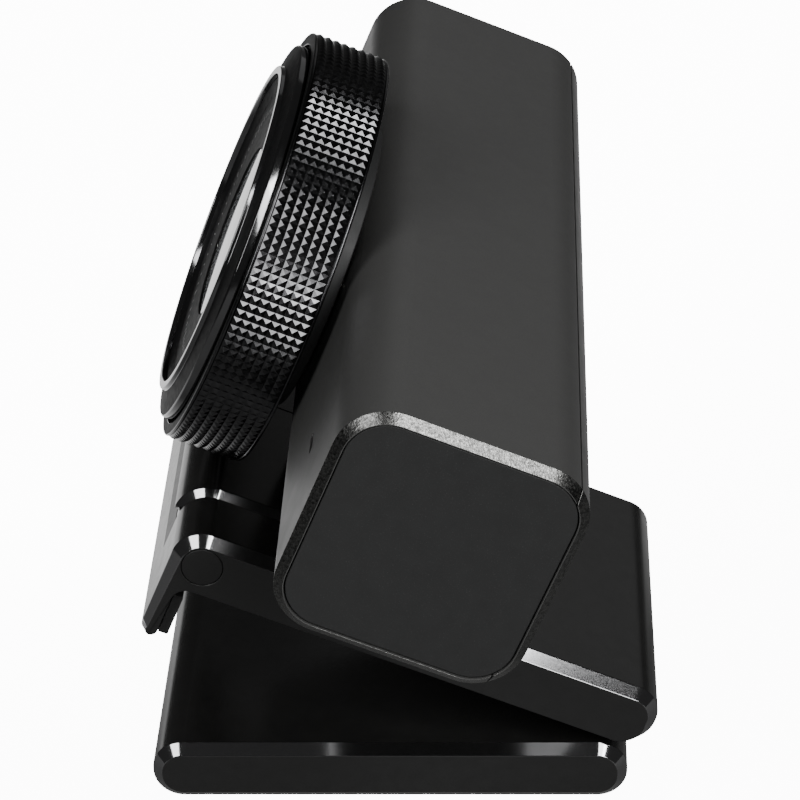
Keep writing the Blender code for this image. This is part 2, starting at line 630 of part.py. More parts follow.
def make_swivel():
    """The puck that turns on the arm, its pad, and the stud that holds the camera."""
    puck = turned("swivel_puck", [(PUCK_RADIUS - PUCK_CHAMFER, PUCK_TOP),
                                  (PUCK_RADIUS, PUCK_TOP - PUCK_CHAMFER),
                                  (PUCK_RADIUS, PUCK_BASE + PUCK_CHAMFER),
                                  (PUCK_RADIUS - PUCK_CHAMFER, PUCK_BASE),
                                  (PIN_BORE, PUCK_BASE), (PIN_BORE, BOLT_TOP + GAP),
                                  (0.0, BOLT_TOP + GAP), (0.0, PUCK_TOP)],
                  PAN_AXIS, STAND_BLACK)
    flange_low = PUCK_TOP - GAP - STUD_FLANGE_HEIGHT
    seat = rod("stud_seat", STUD_FLANGE_RADIUS + GAP, flange_low - GAP, PUCK_TOP + OVERCUT,
               PAN_AXIS)
    cut(puck, seat)
    flange_top = flange_low + STUD_FLANGE_HEIGHT
    stud_top = flange_top + STUD_LENGTH
    turned("camera_stud", [(0.0, stud_top), (STUD_RADIUS - STUD_TIP_CHAMFER, stud_top),
                           (STUD_RADIUS, stud_top - STUD_TIP_CHAMFER),
                           (STUD_RADIUS, flange_top), (STUD_FLANGE_RADIUS, flange_top),
                           (STUD_FLANGE_RADIUS, flange_low), (0.0, flange_low)],
           PAN_AXIS, STEEL, SMALL_ROUND)
    pad_low = PUCK_TOP + GAP
    pad_top = pad_low + PUCK_PAD_THICKNESS
    outer, inner = PUCK_RADIUS - SEAM, STUD_RADIUS + GAP
    turned("swivel_pad", [(outer, pad_top), (outer, pad_low), (inner, pad_low), (inner, pad_top)],
           PAN_AXIS, RUBBER)


# The camera bar

def bar_blank(name, look, length=BAR_LENGTH, section=BAR_SECTION, radius=BAR_EDGE_RADIUS,
              chamfer=0.0, middle=0.0):
    """A square bar with rounded long edges, about the middle of the head."""
    half = section / 2
    return block(name, (middle - length / 2, -half, -half), (middle + length / 2, half, half),
                 HEAD_CENTRE, look, radius, 0, chamfer)


def end_pockets():
    """The seats that the end caps drop into."""
    depth = CAP_SETBACK + CAP_THICKNESS + GAP
    section = BAR_SECTION - 2 * CAP_RIM
    pockets = []
    for side, sign in both_sides():
        middle = sign * (BAR_LENGTH / 2 - depth + BAR_LENGTH / 2)
        pockets.append(bar_blank(f"cap_pocket_{side}", None, BAR_LENGTH, section,
                                 BAR_EDGE_RADIUS - CAP_RIM, middle=middle))
    return pockets


def make_bar():
    """The shell, its rear cover and end caps, and the thread that the stud enters."""
    pockets = end_pockets()
    shell = bar_blank("body_shell", SATIN_BLACK, chamfer=BAR_END_CHAMFER)
    cavity = bar_blank("bar_cavity", None, BAR_LENGTH + 2 * OVERCUT, CAVITY,
                       BAR_EDGE_RADIUS - BAR_WALL)
    behind = block("rear_opening", (-BAR_LENGTH, COVER_FRONT - GAP, -BAR_SECTION),
                   (BAR_LENGTH, BAR_SECTION, BAR_SECTION), HEAD_CENTRE)
    lens_hole = rod("lens_hole", SPIGOT_RADIUS + GAP, NECK_BACK - SPIGOT_LENGTH - GAP,
                    HALF_BAR + OVERCUT, LENS_AXIS)
    nut_hole = rod("nut_hole", NUT_RADIUS + GAP, -HALF_BAR - OVERCUT, -HALF_BAR + BAR_WALL + OVERCUT,
                   HEAD_CENTRE)
    cut(shell, cavity, behind, lens_hole, nut_hole, *pockets)
    for side, sign in both_sides():
        slit = block(f"mic_slit_{side}",
                     (sign * MIC_X - MIC_SLIT[0] / 2, -BAR_SECTION, -MIC_SLIT[1] / 2),
                     (sign * MIC_X + MIC_SLIT[0] / 2, -HALF_BAR + 2 * BAR_WALL, MIC_SLIT[1] / 2),
                     HEAD_CENTRE)
        cut(shell, slit)
    for name, x, z in corners("housing_screw_hole", *HOUSING_SCREWS):
        hole = rod(name, SCREW_RADIUS + GAP, HALF_BAR - BAR_WALL - OVERCUT, HALF_BAR + OVERCUT,
                   LENS_AXIS, centre=(x, z, 0), steps=SMALL_ROUND)
        cut(shell, hole)

    cover = bar_blank("rear_cover", SATIN_BLACK, chamfer=BAR_END_CHAMFER)
    ahead = block("cover_front", (-BAR_LENGTH, -BAR_SECTION, -BAR_SECTION),
                  (BAR_LENGTH, COVER_FRONT, BAR_SECTION), HEAD_CENTRE)
    usb_half = (USB_OUTER[0] / 2 + 2 * GAP, USB_OUTER[1] / 2 + 2 * GAP)
    usb_hole = block("usb_hole", (-usb_half[0], 0, -usb_half[1]),
                     (usb_half[0], BAR_SECTION, usb_half[1]), HEAD_CENTRE, None,
                     usb_half[1] * ROUND_END, 1)
    cut(cover, ahead, usb_hole, *pockets)

    cap_middle = BAR_LENGTH / 2 - CAP_SETBACK - CAP_THICKNESS / 2
    for side, sign in both_sides():
        bar_blank(f"end_cap_{side}", CHIP_BLACK, CAP_THICKNESS, CAP_OUTLINE,
                  BAR_EDGE_RADIUS - CAP_RIM - SEAM, middle=sign * cap_middle)

    nut_low, flange_low = -HALF_BAR, -HALF_BAR + BAR_WALL + GAP
    nut_top, flange_top = nut_low + NUT_HEIGHT, flange_low + NUT_FLANGE_HEIGHT
    flange, bore = NUT_RADIUS + NUT_FLANGE, STUD_RADIUS + GAP
    turned("camera_nut", [(NUT_RADIUS, nut_top), (NUT_RADIUS, flange_top), (flange, flange_top),
                          (flange, flange_low), (NUT_RADIUS, flange_low), (NUT_RADIUS, nut_low),
                          (bore, nut_low), (bore, nut_top)], HEAD_CENTRE, BRASS)


def corners(name, x, z):
    """Four numbered places at the corners of a rectangle."""
    signs = ((-1, -1), (1, -1), (1, 1), (-1, 1))
    return [(f"{name}_{i + 1}", sx * x, sz * z) for i, (sx, sz) in enumerate(signs)]


# The lens and its rings

def make_lens():
    """The housing, the knurled ring, the front ring, the bezel, the glass and the cell."""
    spigot_back = NECK_BACK - SPIGOT_LENGTH
    housing_front = RING_FLOOR - SEAM
    housing = turned("lens_housing", [(HOUSING_RADIUS, housing_front),
                                      (HOUSING_RADIUS, NECK_FRONT), (NECK_RADIUS, NECK_FRONT),
                                      (NECK_RADIUS, NECK_BACK), (SPIGOT_RADIUS, NECK_BACK),
                                      (SPIGOT_RADIUS, spigot_back), (HOUSING_BORE, spigot_back),
                                      (HOUSING_BORE, housing_front)],
                     LENS_AXIS, SATIN_BLACK)
    for name, x, z in corners("housing_screw_bore", *HOUSING_SCREWS):
        cut(housing, rod(name, SCREW_RADIUS + GAP, NECK_BACK - OVERCUT, NECK_FRONT + GAP, LENS_AXIS,
                         centre=(x, z, 0), steps=SMALL_ROUND))

    border = RING_RADIUS - RING_BORDER_STEP
    knurl_back, knurl_front = RING_BACK + RING_BORDER, RING_FRONT - RING_BORDER
    bore, wall = HOUSING_RADIUS + RUN, RING_RADIUS - RING_FRONT_WALL
    turned("focus_ring", [(wall, RING_FRONT), (border - RING_BEVEL, RING_FRONT),
                          (border, RING_FRONT - RING_BEVEL), (border, knurl_front),
                          (RING_RADIUS, knurl_front - SEAM), (RING_RADIUS, knurl_back + SEAM),
                          (border, knurl_back), (border, RING_BACK + RING_BEVEL),
                          (border - RING_BEVEL, RING_BACK), (bore, RING_BACK), (bore, RING_FLOOR),
                          (wall, RING_FLOOR)],
           LENS_AXIS, SATIN_BLACK, FINE_ROUND)

    rim_in = RIM_RADIUS - RIM_THICKNESS
    aperture = HOUSING_BORE + SEAM / 2
    turned("front_ring", [(rim_in + RIM_BEVEL, RIM_FRONT), (RIM_RADIUS - RIM_BEVEL, RIM_FRONT),
                          (RIM_RADIUS, RIM_FRONT - RIM_BEVEL),
                          (RIM_RADIUS, FRONT_STEP - RIM_BEVEL),
                          (FRONT_RING_RADIUS - RIM_BEVEL, FRONT_STEP),
                          (FRONT_RING_RADIUS, FRONT_STEP - RIM_BEVEL),
                          (FRONT_RING_RADIUS, FRONT_FLOOR), (aperture, FRONT_FLOOR),
                          (aperture, BEZEL_SEAT), (rim_in, BEZEL_SEAT),
                          (rim_in, RIM_FRONT - RIM_BEVEL)],
           LENS_AXIS, GLOSS_BLACK, FINE_ROUND)

    bezel_hole = GLASS_RADIUS + GAP
    turned("lens_bezel", [(BEZEL_RADIUS, RIM_FRONT - BEZEL_BELOW_RIM), (BEZEL_RADIUS, GLASS_BACK),
                          (bezel_hole, GLASS_BACK), (bezel_hole, GLASS_FRONT)],
           LENS_AXIS, GLOSS_BLACK, FINE_ROUND)
    rod("cover_glass", GLASS_RADIUS, GLASS_BACK, GLASS_FRONT, LENS_AXIS, LENS_GLASS)

    cell_front = housing_front - 2 * CELL_TRAVEL
    cell_back = cell_front - CELL_LENGTH
    cell_in = CELL_RADIUS - CELL_WALL
    turned("lens_cell", [(CELL_RADIUS, cell_front), (CELL_RADIUS, cell_back), (cell_in, cell_back),
                         (cell_in, cell_front)], LENS_AXIS, CHIP_BLACK)
    lens_radius = cell_in - SEAM
    front_inset, front_rim, front_dome = FRONT_LENS
    turned("front_lens", lens_profile(lens_radius, cell_front - front_inset, front_rim, front_dome),
           LENS_AXIS, LENS_GLASS)
    rear_inset, rear_rim, rear_dome = REAR_LENS
    turned("rear_lens", lens_profile(lens_radius, cell_back + rear_inset, rear_rim, rear_dome),
           LENS_AXIS, LENS_GLASS)


def lens_profile(radius, middle, rim, dome):
    """Half the section of a lens with two domed faces, from its front to its back."""
    steps = 3
    front = []
    for i in range(steps + 1):
        share = i / steps
        front.append((radius * share, middle + rim / 2 + dome * (1 - share ** 2)))
    back = [(r, 2 * middle - h) for r, h in reversed(front)]
    return front + back


# What is inside the bar

def make_electronics():
    """The chassis, the boards with their chips, the microphones and the USB-C socket."""
    half_x, half_z = HALF_BOARD
    notch_half = NUT_RADIUS + NUT_NOTCH_MARGIN
    nut_notch = block("nut_notch", (-notch_half, -BAR_SECTION, -BAR_SECTION),
                      (notch_half, BAR_SECTION, -HALF_BAR + NUT_HEIGHT + GAP), HEAD_CENTRE)
    board_back = MAIN_BOARD_Y + BOARD_THICKNESS
    board = block("main_board", (-half_x, MAIN_BOARD_Y, -half_z), (half_x, board_back, half_z),
                  HEAD_CENTRE, BOARD_GREEN)
    margin_x, margin_z = CHASSIS_MARGIN
    chassis_back = CHASSIS_Y + CHASSIS_THICKNESS
    chassis = block("chassis", (-half_x - margin_x, CHASSIS_Y, -half_z - margin_z),
                    (half_x + margin_x, chassis_back, half_z + margin_z), HEAD_CENTRE, CHIP_BLACK)
    cut(board, nut_notch)
    cut(chassis, nut_notch)
    for name, x, z in corners("board_screw", *BOARD_SCREWS):
        post = rod(f"{name}_post", POST_RADIUS, chassis_back - GAP, MAIN_BOARD_Y - GAP,
                   HEAD_CENTRE, axis=1, centre=(x, 0, z), steps=SMALL_ROUND)
        combine(chassis, post, "UNION")
        hole = rod(f"{name}_hole", SCREW_RADIUS + GAP, -OVERCUT, 2 * OVERCUT + board_back,
                   HEAD_CENTRE, axis=1, centre=(x, 0, z), steps=SMALL_ROUND)
        cut(chassis, hole)
        cut(board, hole)
        screw(name, HEAD_CENTRE, (x, 0, z), CHASSIS_Y + GAP, board_back + GAP)

    board_front = SENSOR_BOARD_Y - GAP
    sensor_front = board_front - SENSOR[2]
    upright("sensor_board", 0.0,
            (SENSOR_BOARD_LENGTH, 2 * (HALF_BAR - NUT_HEIGHT - SENSOR_BOARD_SPACE)),
            SENSOR_BOARD_Y, SENSOR_BOARD_Y + BOARD_THICKNESS, BOARD_GREEN)
    upright("image_sensor", 0.0, SENSOR[:2], sensor_front, board_front, CHIP_BLACK)
    filter_back = sensor_front - GAP
    upright("infrared_filter", 0.0, (SENSOR[0] + 2 * FILTER_MARGIN, SENSOR[1] + 2 * FILTER_MARGIN),
            filter_back - FILTER_THICKNESS, filter_back, LENS_GLASS)

    chip_back = board_back + GAP + PROCESSOR[2]
    upright("processor", PROCESSOR_X, PROCESSOR[:2], board_back + GAP, chip_back, CHIP_BLACK)
    upright("heat_spreader", PROCESSOR_X,
            (SPREADER_LENGTH, 2 * (half_z - SPREADER_SIDE_SPACE)), chip_back + GAP,
            chip_back + GAP + SPREADER_THICKNESS, ALUMINIUM)

    usb_back = HALF_BAR - USB_INSET
    usb_half = (USB_OUTER[0] / 2, USB_OUTER[1] / 2)
    socket = block("usb_socket", (-usb_half[0], board_back + GAP, -usb_half[1]),
                   (usb_half[0], usb_back, usb_half[1]), HEAD_CENTRE, STEEL,
                   usb_half[1] * ROUND_END, 1)
    usb_in = (usb_half[0] - USB_WALL, usb_half[1] - USB_WALL)
    inside = block("usb_inside", (-usb_in[0], board_back + GAP + USB_BACK_WALL, -usb_in[1]),
                   (usb_in[0], usb_back + OVERCUT, usb_in[1]), HEAD_CENTRE, None,
                   usb_in[1] * ROUND_END, 1)
    cut(socket, inside)

    mic_front = -HALF_BAR + BAR_WALL + GAP
    for side, sign in both_sides():
        upright(f"microphone_{side}", sign * MIC_X, (MICROPHONE[0], MICROPHONE[2]), mic_front,
                mic_front + MICROPHONE[1], CHIP_BLACK)

    for name, x, z in corners("housing_screw", *HOUSING_SCREWS):
        screw(name, LENS_AXIS, (x, z, 0), NECK_FRONT - SCREW_TIP_SPACE, HALF_BAR - BAR_WALL - GAP,
              axis=2)


def upright(name, x, size, front, back, look):
    """A block in the bar: its middle along X, its width and height, and its front and back."""
    half_width, half_height = size[0] / 2, size[1] / 2
    return block(name, (x - half_width, front, -half_height), (x + half_width, back, half_height),
                 HEAD_CENTRE, look)


def screw(name, parent, centre, tip, head_seat, axis=1):
    """A pan-head screw along an axis, with its head beyond the seat and away from the tip."""
    head_end = head_seat + SCREW_HEAD_HEIGHT * (1 if head_seat > tip else -1)
    start, end = sorted((tip, head_seat))
    made = rod(name, SCREW_RADIUS, start, end, parent, STEEL, axis=axis, centre=centre,
               steps=SMALL_ROUND)
    overlap = GAP / 2 * (1 if head_seat > tip else -1)
    start, end = sorted((head_seat - overlap, head_end))
    head = rod(f"{name}_head", SCREW_HEAD_RADIUS, start, end, parent, axis=axis, centre=centre,
               steps=SMALL_ROUND)
    combine(made, head, "UNION")
    return made


def main():
    """Build every piece."""
    make_base()
    make_clip()
    make_arm()
    make_swivel()
    make_bar()
    make_lens()
    make_electronics()


main()
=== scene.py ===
"""Looks of the bar camera on its folding clip stand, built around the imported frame.

Units are metres and +Z is up. The bar runs along X and the lens looks towards -Y. Pieces
of the clip plate, the swing arm, the bar and the lens are drawn in their own upright
frames (CLIP, ARM, SWIVEL, HEAD and LENS, whose Z is the lens's forward direction) and
their meshes are then turned into place.
"""

import json
import math

import bmesh
import bpy
from mathutils import Matrix, Vector


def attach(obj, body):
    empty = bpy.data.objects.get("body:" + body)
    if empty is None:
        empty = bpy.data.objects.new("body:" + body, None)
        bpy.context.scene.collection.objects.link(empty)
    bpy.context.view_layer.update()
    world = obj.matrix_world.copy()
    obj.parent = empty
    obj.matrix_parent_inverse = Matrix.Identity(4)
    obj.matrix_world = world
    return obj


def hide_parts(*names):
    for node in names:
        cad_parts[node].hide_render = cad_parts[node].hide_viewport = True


bl_info = {
    "name": "Bar Camera on Clip Stand",
    "version": (1, 0, 0),
    "blender": (4, 5, 0),
    "location": "3D View > Sidebar > Bar Camera",
    "description": "Builds a square camera bar with a knurled focus ring on a folding clip stand",
    "category": "Object",
}

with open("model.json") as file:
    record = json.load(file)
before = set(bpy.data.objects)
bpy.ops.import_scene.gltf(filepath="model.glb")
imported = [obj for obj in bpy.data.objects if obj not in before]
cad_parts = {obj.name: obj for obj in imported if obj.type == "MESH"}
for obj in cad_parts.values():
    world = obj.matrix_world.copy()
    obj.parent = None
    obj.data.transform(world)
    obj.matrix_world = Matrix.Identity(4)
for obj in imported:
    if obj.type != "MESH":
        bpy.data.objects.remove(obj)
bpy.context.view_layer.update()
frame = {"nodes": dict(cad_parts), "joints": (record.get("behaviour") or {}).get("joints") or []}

MM = 0.001

# How finely round shapes are drawn, and which corners count as straight or sharp
LATHE_STEPS = 192
SMALL_STEPS = 64
CORNER_STEPS = 14
FILLET_STEPS = 4
CROWN_STEPS = 12
STRAIGHT = math.radians(89.5)
EDGE_SHADING = math.radians(16)

# Clearances, softened edges and the walls that two pieces share
GAP = 0.3 * MM
HAIR = 0.02 * MM
OVERCUT = 3.0 * MM
SOFT_EDGE = 0.07 * MM
BAR_SOFT_EDGE = 0.05 * MM
TUBE_WALL = 1.3 * MM
RUNNING_GAP = 0.4 * MM


# Places in the frame

def joint(name):
    """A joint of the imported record."""
    return next(j for j in frame["joints"] if j["name"] == name)


def upright(point):
    """The place at a point, turned as the clip plate stands on the base."""
    return Matrix.Translation(point) @ TILT


def span(node, place=Matrix.Identity(4)):
    """The lowest and highest corner of a CAD node in a place's own frame."""
    back = place.inverted()
    points = [back @ v.co for v in frame["nodes"][node].data.vertices]
    low = Vector([min(p[i] for p in points) for i in range(3)])
    high = Vector([max(p[i] for p in points) for i in range(3)])
    return low, high


def centre_of(node, place=Matrix.Identity(4)):
    """The middle of a CAD node's box in a place's own frame."""
    return [(low + high) / 2 for low, high in zip(*span(node, place))]


def reach(node, place):
    """A round CAD node's radius about a place's Z axis."""
    back = place.inverted()
    return max((back @ v.co).xy.length for v in frame["nodes"][node].data.vertices)


TILT = Vector((0, 0, 1)).rotation_difference(Vector(joint("head_pan")["axis"])).to_matrix().to_4x4()
WORLD = Matrix.Identity(4)
CLIP = upright(joint("stand_fold")["pos_m"])
ARM = upright(joint("arm_lift")["pos_m"])
SWIVEL = upright(joint("head_pan")["pos_m"])
HEAD = upright((0.0, *centre_of("end_cap_right")[1:]))
LENS = HEAD @ Matrix.Rotation(math.radians(90), 4, "X")


# Sizes and colours that a user would change

def length(name, description, default):
    """A size in metres."""
    return bpy.props.FloatProperty(name=name, description=description, default=default, min=0.0,
                                   unit="LENGTH", subtype="DISTANCE", precision=5)


def colour(name, description, *default):
    """A linear colour."""
    return bpy.props.FloatVectorProperty(name=name, description=description, default=default,
                                         size=3, min=0.0, max=1.0, subtype="COLOR")


def number(name, description, default):
    """A count."""
    return bpy.props.IntProperty(name=name, description=description, default=default, min=1)


def strength(name, description, default, unit="NONE"):
    """How strong a light is."""
    return bpy.props.FloatProperty(name=name, description=description, default=default, min=0.0,
                                   unit=unit)


class StandSizes(bpy.types.PropertyGroup):
    edge_flat: length("Edge flat", "Flat left between the two roundings of a long edge", 0.15 * MM)
    end_chamfer: length("End chamfer", "Polished chamfer round the end faces", 1.1 * MM)
    under_chamfer: length("Under chamfer", "Fine chamfer along the undersides", 0.2 * MM)
    arm_chamfer: length("Arm chamfer", "Polished chamfer along the arm's sides", 0.8 * MM)
    arm_proud: length("Arm proud", "How far the arm stands above the plate", 0.5 * MM)
    arm_gap: length("Arm gap", "Clearance round the arm in its slot", 0.3 * MM)
    slot_floor: length("Slot floor", "Plate left under the arm's slot", 1.8 * MM)
    lip_fillet: length("Lip fillet", "Fillet between the plate and its lip", 1.5 * MM)
    scoop_below: length("Scoop below", "How far the scoop in the lip reaches below the plate",
                        1.15 * MM)
    thread_pitch: length("Thread pitch", "Pitch of the tripod socket's thread", 1.27 * MM)


class BarSizes(bpy.types.PropertyGroup):
    edge_radius: length("Edge radius", "Rounding of the bar's long edges", 5.4 * MM)
    end_chamfer: length("End chamfer", "Blasted chamfer round the bar's ends", 0.9 * MM)
    rim: length("End rim", "Wall of the shell round an end cap", 1.0 * MM)
    wall: length("Wall", "Wall of the shell", 1.6 * MM)
    seam: length("Seam", "Width of the line between two shells", 0.13 * MM)
    slit_width: length("Microphone slit", "Length of a microphone slit", 3.4 * MM)
    slit_height: length("Slit height", "Height of a microphone slit", 0.8 * MM)


class LensSizes(bpy.types.PropertyGroup):
    knurl_rows: number("Knurl rows", "Rows of pyramids across the focus ring", 8)
    knurl_around: number("Knurl around", "Pyramids round the focus ring", 156)
    knurl_height: length("Knurl height", "Height of a knurl pyramid", 0.20 * MM)
    ring_trim: length("Ring trim", "How far the rings stay inside their envelopes", 0.75 * MM)
    dish_depth: length("Dish depth", "Depth of the dish below the raised rim", 1.2 * MM)
    glass_thickness: length("Glass thickness", "Thickness of the cover glass", 0.8 * MM)
    ring_border: length("Ring border", "Plain border on each side of the knurl", 0.4 * MM)
    ring_setback: length("Ring setback", "How far the focus ring stays behind its envelope",
                         0.7 * MM)
    ring_wall: length("Ring wall", "Wall of the focus ring round the front ring", 1.45 * MM)
    rim_thickness: length("Rim thickness", "Thickness of the front ring's raised rim", 0.9 * MM)
    marks: number("Marks", "Fine marks printed round the lens", 72)
    mark_radius: length("Mark radius", "Radius of the ring of marks", 13.6 * MM)


class Colours(bpy.types.PropertyGroup):
    bar: colour("Bar", "Satin metal of the bar", 0.043, 0.043, 0.042)
    end_cap: colour("End cap", "Matte end caps", 0.0105, 0.0108, 0.0108)
    stand: colour("Stand", "Smooth stand parts", 0.0075, 0.0075, 0.0072)
    gloss: colour("Gloss", "Gloss black rings", 0.15, 0.15, 0.153)
    rubber: colour("Rubber", "Pads", 0.012, 0.012, 0.012)
    steel: colour("Steel", "Pins, screws and washers", 0.56, 0.55, 0.53)
    brass: colour("Brass", "Threaded inserts", 0.66, 0.47, 0.20)
    board: colour("Circuit board", "Solder mask of the boards", 0.012, 0.085, 0.035)


class Stage(bpy.types.PropertyGroup):
    floor: colour("Floor", "Pale floor", 0.10, 0.10, 0.099)
    glow: strength("Glow", "How white the floor and the sky look to the camera", 12.0)
    bounce: strength("Floor bounce", "Light that the floor sends up near the lens side", 1.2)
    sky: strength("Sky", "Strength of the even sky", 0.06)
    key: strength("Key", "Power of the softbox at the lens side", 3.8, "POWER")
    rear: strength("Rear", "Power of the softbox behind the bar", 5.5, "POWER")
    strip: strength("Strip", "Power of the small box behind the bar", 1.3, "POWER")
    far: strength("Far", "Power of the softbox at the far end", 0.12, "POWER")


GROUPS = {"stand_sizes": StandSizes, "bar_sizes": BarSizes, "lens_sizes": LensSizes,
          "camera_colours": Colours, "camera_stage": Stage}


# Outlines

def arc(centre, radius, start, end, steps=CORNER_STEPS):
    """Points on an arc between two angles in degrees, both ends included."""
    points = []
    for i in range(steps + 1):
        angle = math.radians(start + (end - start) * i / steps)
        points.append((centre[0] + radius * math.cos(angle), centre[1] + radius * math.sin(angle)))
    return points


def filleted(corners, steps=FILLET_STEPS):
    """A closed outline from corners of (x, y, fillet radius)."""
    points = []
    for i, (x, y, radius) in enumerate(corners):
        here = Vector((x, y))
        to_last = (Vector(corners[i - 1][:2]) - here).normalized()
        to_next = (Vector(corners[(i + 1) % len(corners)][:2]) - here).normalized()
        half = to_last.angle(to_next) / 2
        if radius == 0 or half > STRAIGHT:
            points.append((x, y))
            continue
        centre = here + (to_last + to_next).normalized() * (radius / math.sin(half))
        first = here + to_last * (radius / math.tan(half)) - centre
        last = here + to_next * (radius / math.tan(half)) - centre
        start = math.atan2(first.y, first.x)
        turn = (math.atan2(last.y, last.x) - start + math.pi) % math.tau - math.pi
        for k in range(steps + 1):
            angle = start + turn * k / steps
            points.append((centre.x + radius * math.cos(angle),
                           centre.y + radius * math.sin(angle)))
    return points


def rounded_square(half, radius):
    """A square outline about the origin with rounded corners."""
    points = []
    for i, (y, z) in enumerate(((1, 1), (-1, 1), (-1, -1), (1, -1))):
        points += arc((y * (half - radius), z * (half - radius)), radius, 90 * i, 90 * i + 90)
    return points


def slot_outline(half_width, half_height, steps=SMALL_STEPS // 8):
    """An outline with two round ends."""
    middle = half_width - half_height
    return (arc((middle, 0), half_height, -90, 90, steps) +
            arc((-middle, 0), half_height, 90, 270, steps))


# Meshes

def mesh_from(shape, place, smooth=40):
    """Turn a bmesh drawn in a place's frame into a mesh in the world, and free it."""
    bmesh.ops.recalc_face_normals(shape, faces=shape.faces)
    bmesh.ops.transform(shape, matrix=place, verts=shape.verts)
    mesh = bpy.data.meshes.new("shape")
    shape.to_mesh(mesh)
    shape.free()
    mesh.shade_smooth()
    mesh.set_sharp_from_angle(angle=math.radians(smooth))
    return mesh


def skin(rings, closed=False):
    """Join rings of points with faces. Open ends are capped; a ring of one point is a pole."""
    shape = bmesh.new()
    rows = [[shape.verts.new(p) for p in ring] for ring in rings]
    pairs = list(zip(rows, rows[1:])) + ([(rows[-1], rows[0])] if closed else [])
    for a, b in pairs:
        count = max(len(a), len(b))
        for i in range(count):
            j = (i + 1) % count
            corners = ([a[i], a[j]] if len(a) > 1 else [a[0]]) + \
                      ([b[j], b[i]] if len(b) > 1 else [b[0]])
            shape.faces.new(corners)
    if not closed:
        for row in (rows[0], rows[-1]):
            if len(row) > 2:
                shape.faces.new(row)
    return shape


def lathe(profile, place, steps=LATHE_STEPS, smooth=40):
    """A profile of (radius, height) turned about the place's Z axis.

    A profile that starts and ends on the axis is a solid, and any other is a closed ring.
    """
    rings = []
    for radius, height in profile:
        if radius < HAIR / 10:
            rings.append([(0, 0, height)])
            continue
        turns = [math.tau * i / steps for i in range(steps)]
        rings.append([(radius * math.cos(t), radius * math.sin(t), height) for t in turns])
    solid = len(rings[0]) == 1 and len(rings[-1]) == 1
    return mesh_from(skin(rings, not solid), place, smooth)


def prism(outline, low, high, place):
    """A closed outline of (y, z) drawn out along X."""
    return mesh_from(skin([[(x, y, z) for y, z in outline] for x in (low, high)]), place)


def through(outline, stops, place):
    """A closed outline of (x, z) drawn out along Y."""
    return mesh_from(skin([[(x, y, z) for x, z in outline] for y in stops]), place)


def lofted_bar(path, radius, half, closed=False):
    """Rounded squares along the bar, one for each (x, inset) of a path."""
    rings = []
    for x, inset in path:
        rings.append([(x, y, z) for y, z in rounded_square(half - inset, radius - inset)])
    return mesh_from(skin(rings, closed), HEAD, 28)


def turned(corners, place=LENS, smooth=30):
    """A lathed ring or solid from corners of (radius, height, fillet radius)."""
    return lathe(filleted(corners), place, smooth=smooth)


def box_mesh(low, high, place):
    """A plain box, for cutting."""
    shape = bmesh.new()
    bmesh.ops.create_cube(shape, size=1.0)
    low, high = Vector(low), Vector(high)
    bmesh.ops.scale(shape, vec=high - low, verts=shape.verts)
    bmesh.ops.translate(shape, vec=(high + low) / 2, verts=shape.verts)
    return mesh_from(shape, place)


def rod(radius, low, high, place, turn=Matrix.Identity(4), centre=(0, 0, 0)):
    """A cylinder along Z, or along the axis that a turn makes of it."""
    return lathe([(0, high), (radius, high), (radius, low), (0, low)],
                 place @ Matrix.Translation(centre) @ turn, SMALL_STEPS)


ALONG_X = Matrix.Rotation(math.radians(90), 4, "Y")


def worked(mesh, *changes):
    """The mesh after some modifiers, each a (type, settings)."""
    work = bpy.data.objects.new("work", mesh)
    bpy.context.scene.collection.objects.link(work)
    for kind, settings in changes:
        modifier = work.modifiers.new(kind.lower(), kind)
        for key, value in settings.items():
            setattr(modifier, key, value)
    depsgraph = bpy.context.evaluated_depsgraph_get()
    made = bpy.data.meshes.new_from_object(work.evaluated_get(depsgraph))
    bpy.data.objects.remove(work)
    return made


def joined(mesh, tools, operation="DIFFERENCE"):
    """Cut tools from a mesh, or join them on."""
    holders = []
    changes = []
    for tool in tools:
        holder = bpy.data.objects.new("tool", tool)
        bpy.context.scene.collection.objects.link(holder)
        holders.append(holder)
        changes.append(("BOOLEAN", {"operation": operation, "solver": "EXACT", "object": holder}))
    made = worked(mesh, *changes)
    for holder in holders:
        bpy.data.objects.remove(holder)
    return made


def softened(mesh, width=SOFT_EDGE, angle=32):
    """Round the sharp edges a little, and keep the flats flat in the shading."""
    mesh.shade_smooth()
    mesh.set_sharp_from_angle(angle=EDGE_SHADING)
    return worked(mesh, ("BEVEL", {"width": width, "segments": 2, "limit_method": "ANGLE",
                                   "angle_limit": math.radians(angle),
                                   "use_clamp_overlap": False}),
                  ("WEIGHTED_NORMAL", {"keep_sharp": True, "weight": 100}))


def piece(name, mesh, body, looks, replaced=()):
    """A finished piece: its materials, what it stands for and what it rides on."""
    if not mesh.polygons:
        raise RuntimeError("the shape of %s came out empty" % name)
    made = bpy.data.objects.new(name, mesh)
    bpy.context.scene.collection.objects.link(made)
    if not mesh.materials:
        for look in looks:
            mesh.materials.append(finish(look))
    if replaced:
        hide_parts(*replaced)
    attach(made, body)
    return made


def weighted(points, inset, last=None):
    """Give the points of an outline their chamfer, going evenly to a last value if given."""
    last = inset if last is None else last
    steps = max(1, len(points) - 1)
    return [(y, z, inset + (last - inset) * i / steps) for i, (y, z) in enumerate(points)]


def steadied(outline, near=0.3 * MM):
    """Add points close to the ends of the long straights, so that they shade flat."""
    made = []
    for a, b in zip(outline, outline[1:] + outline[:1]):
        made.append(a)
        run = math.hypot(b[0] - a[0], b[1] - a[1])
        if run > 6 * near:
            for share in (near / run, 1 - near / run):
                made.append(tuple(p + (q - p) * share for p, q in zip(a, b)))
    return made


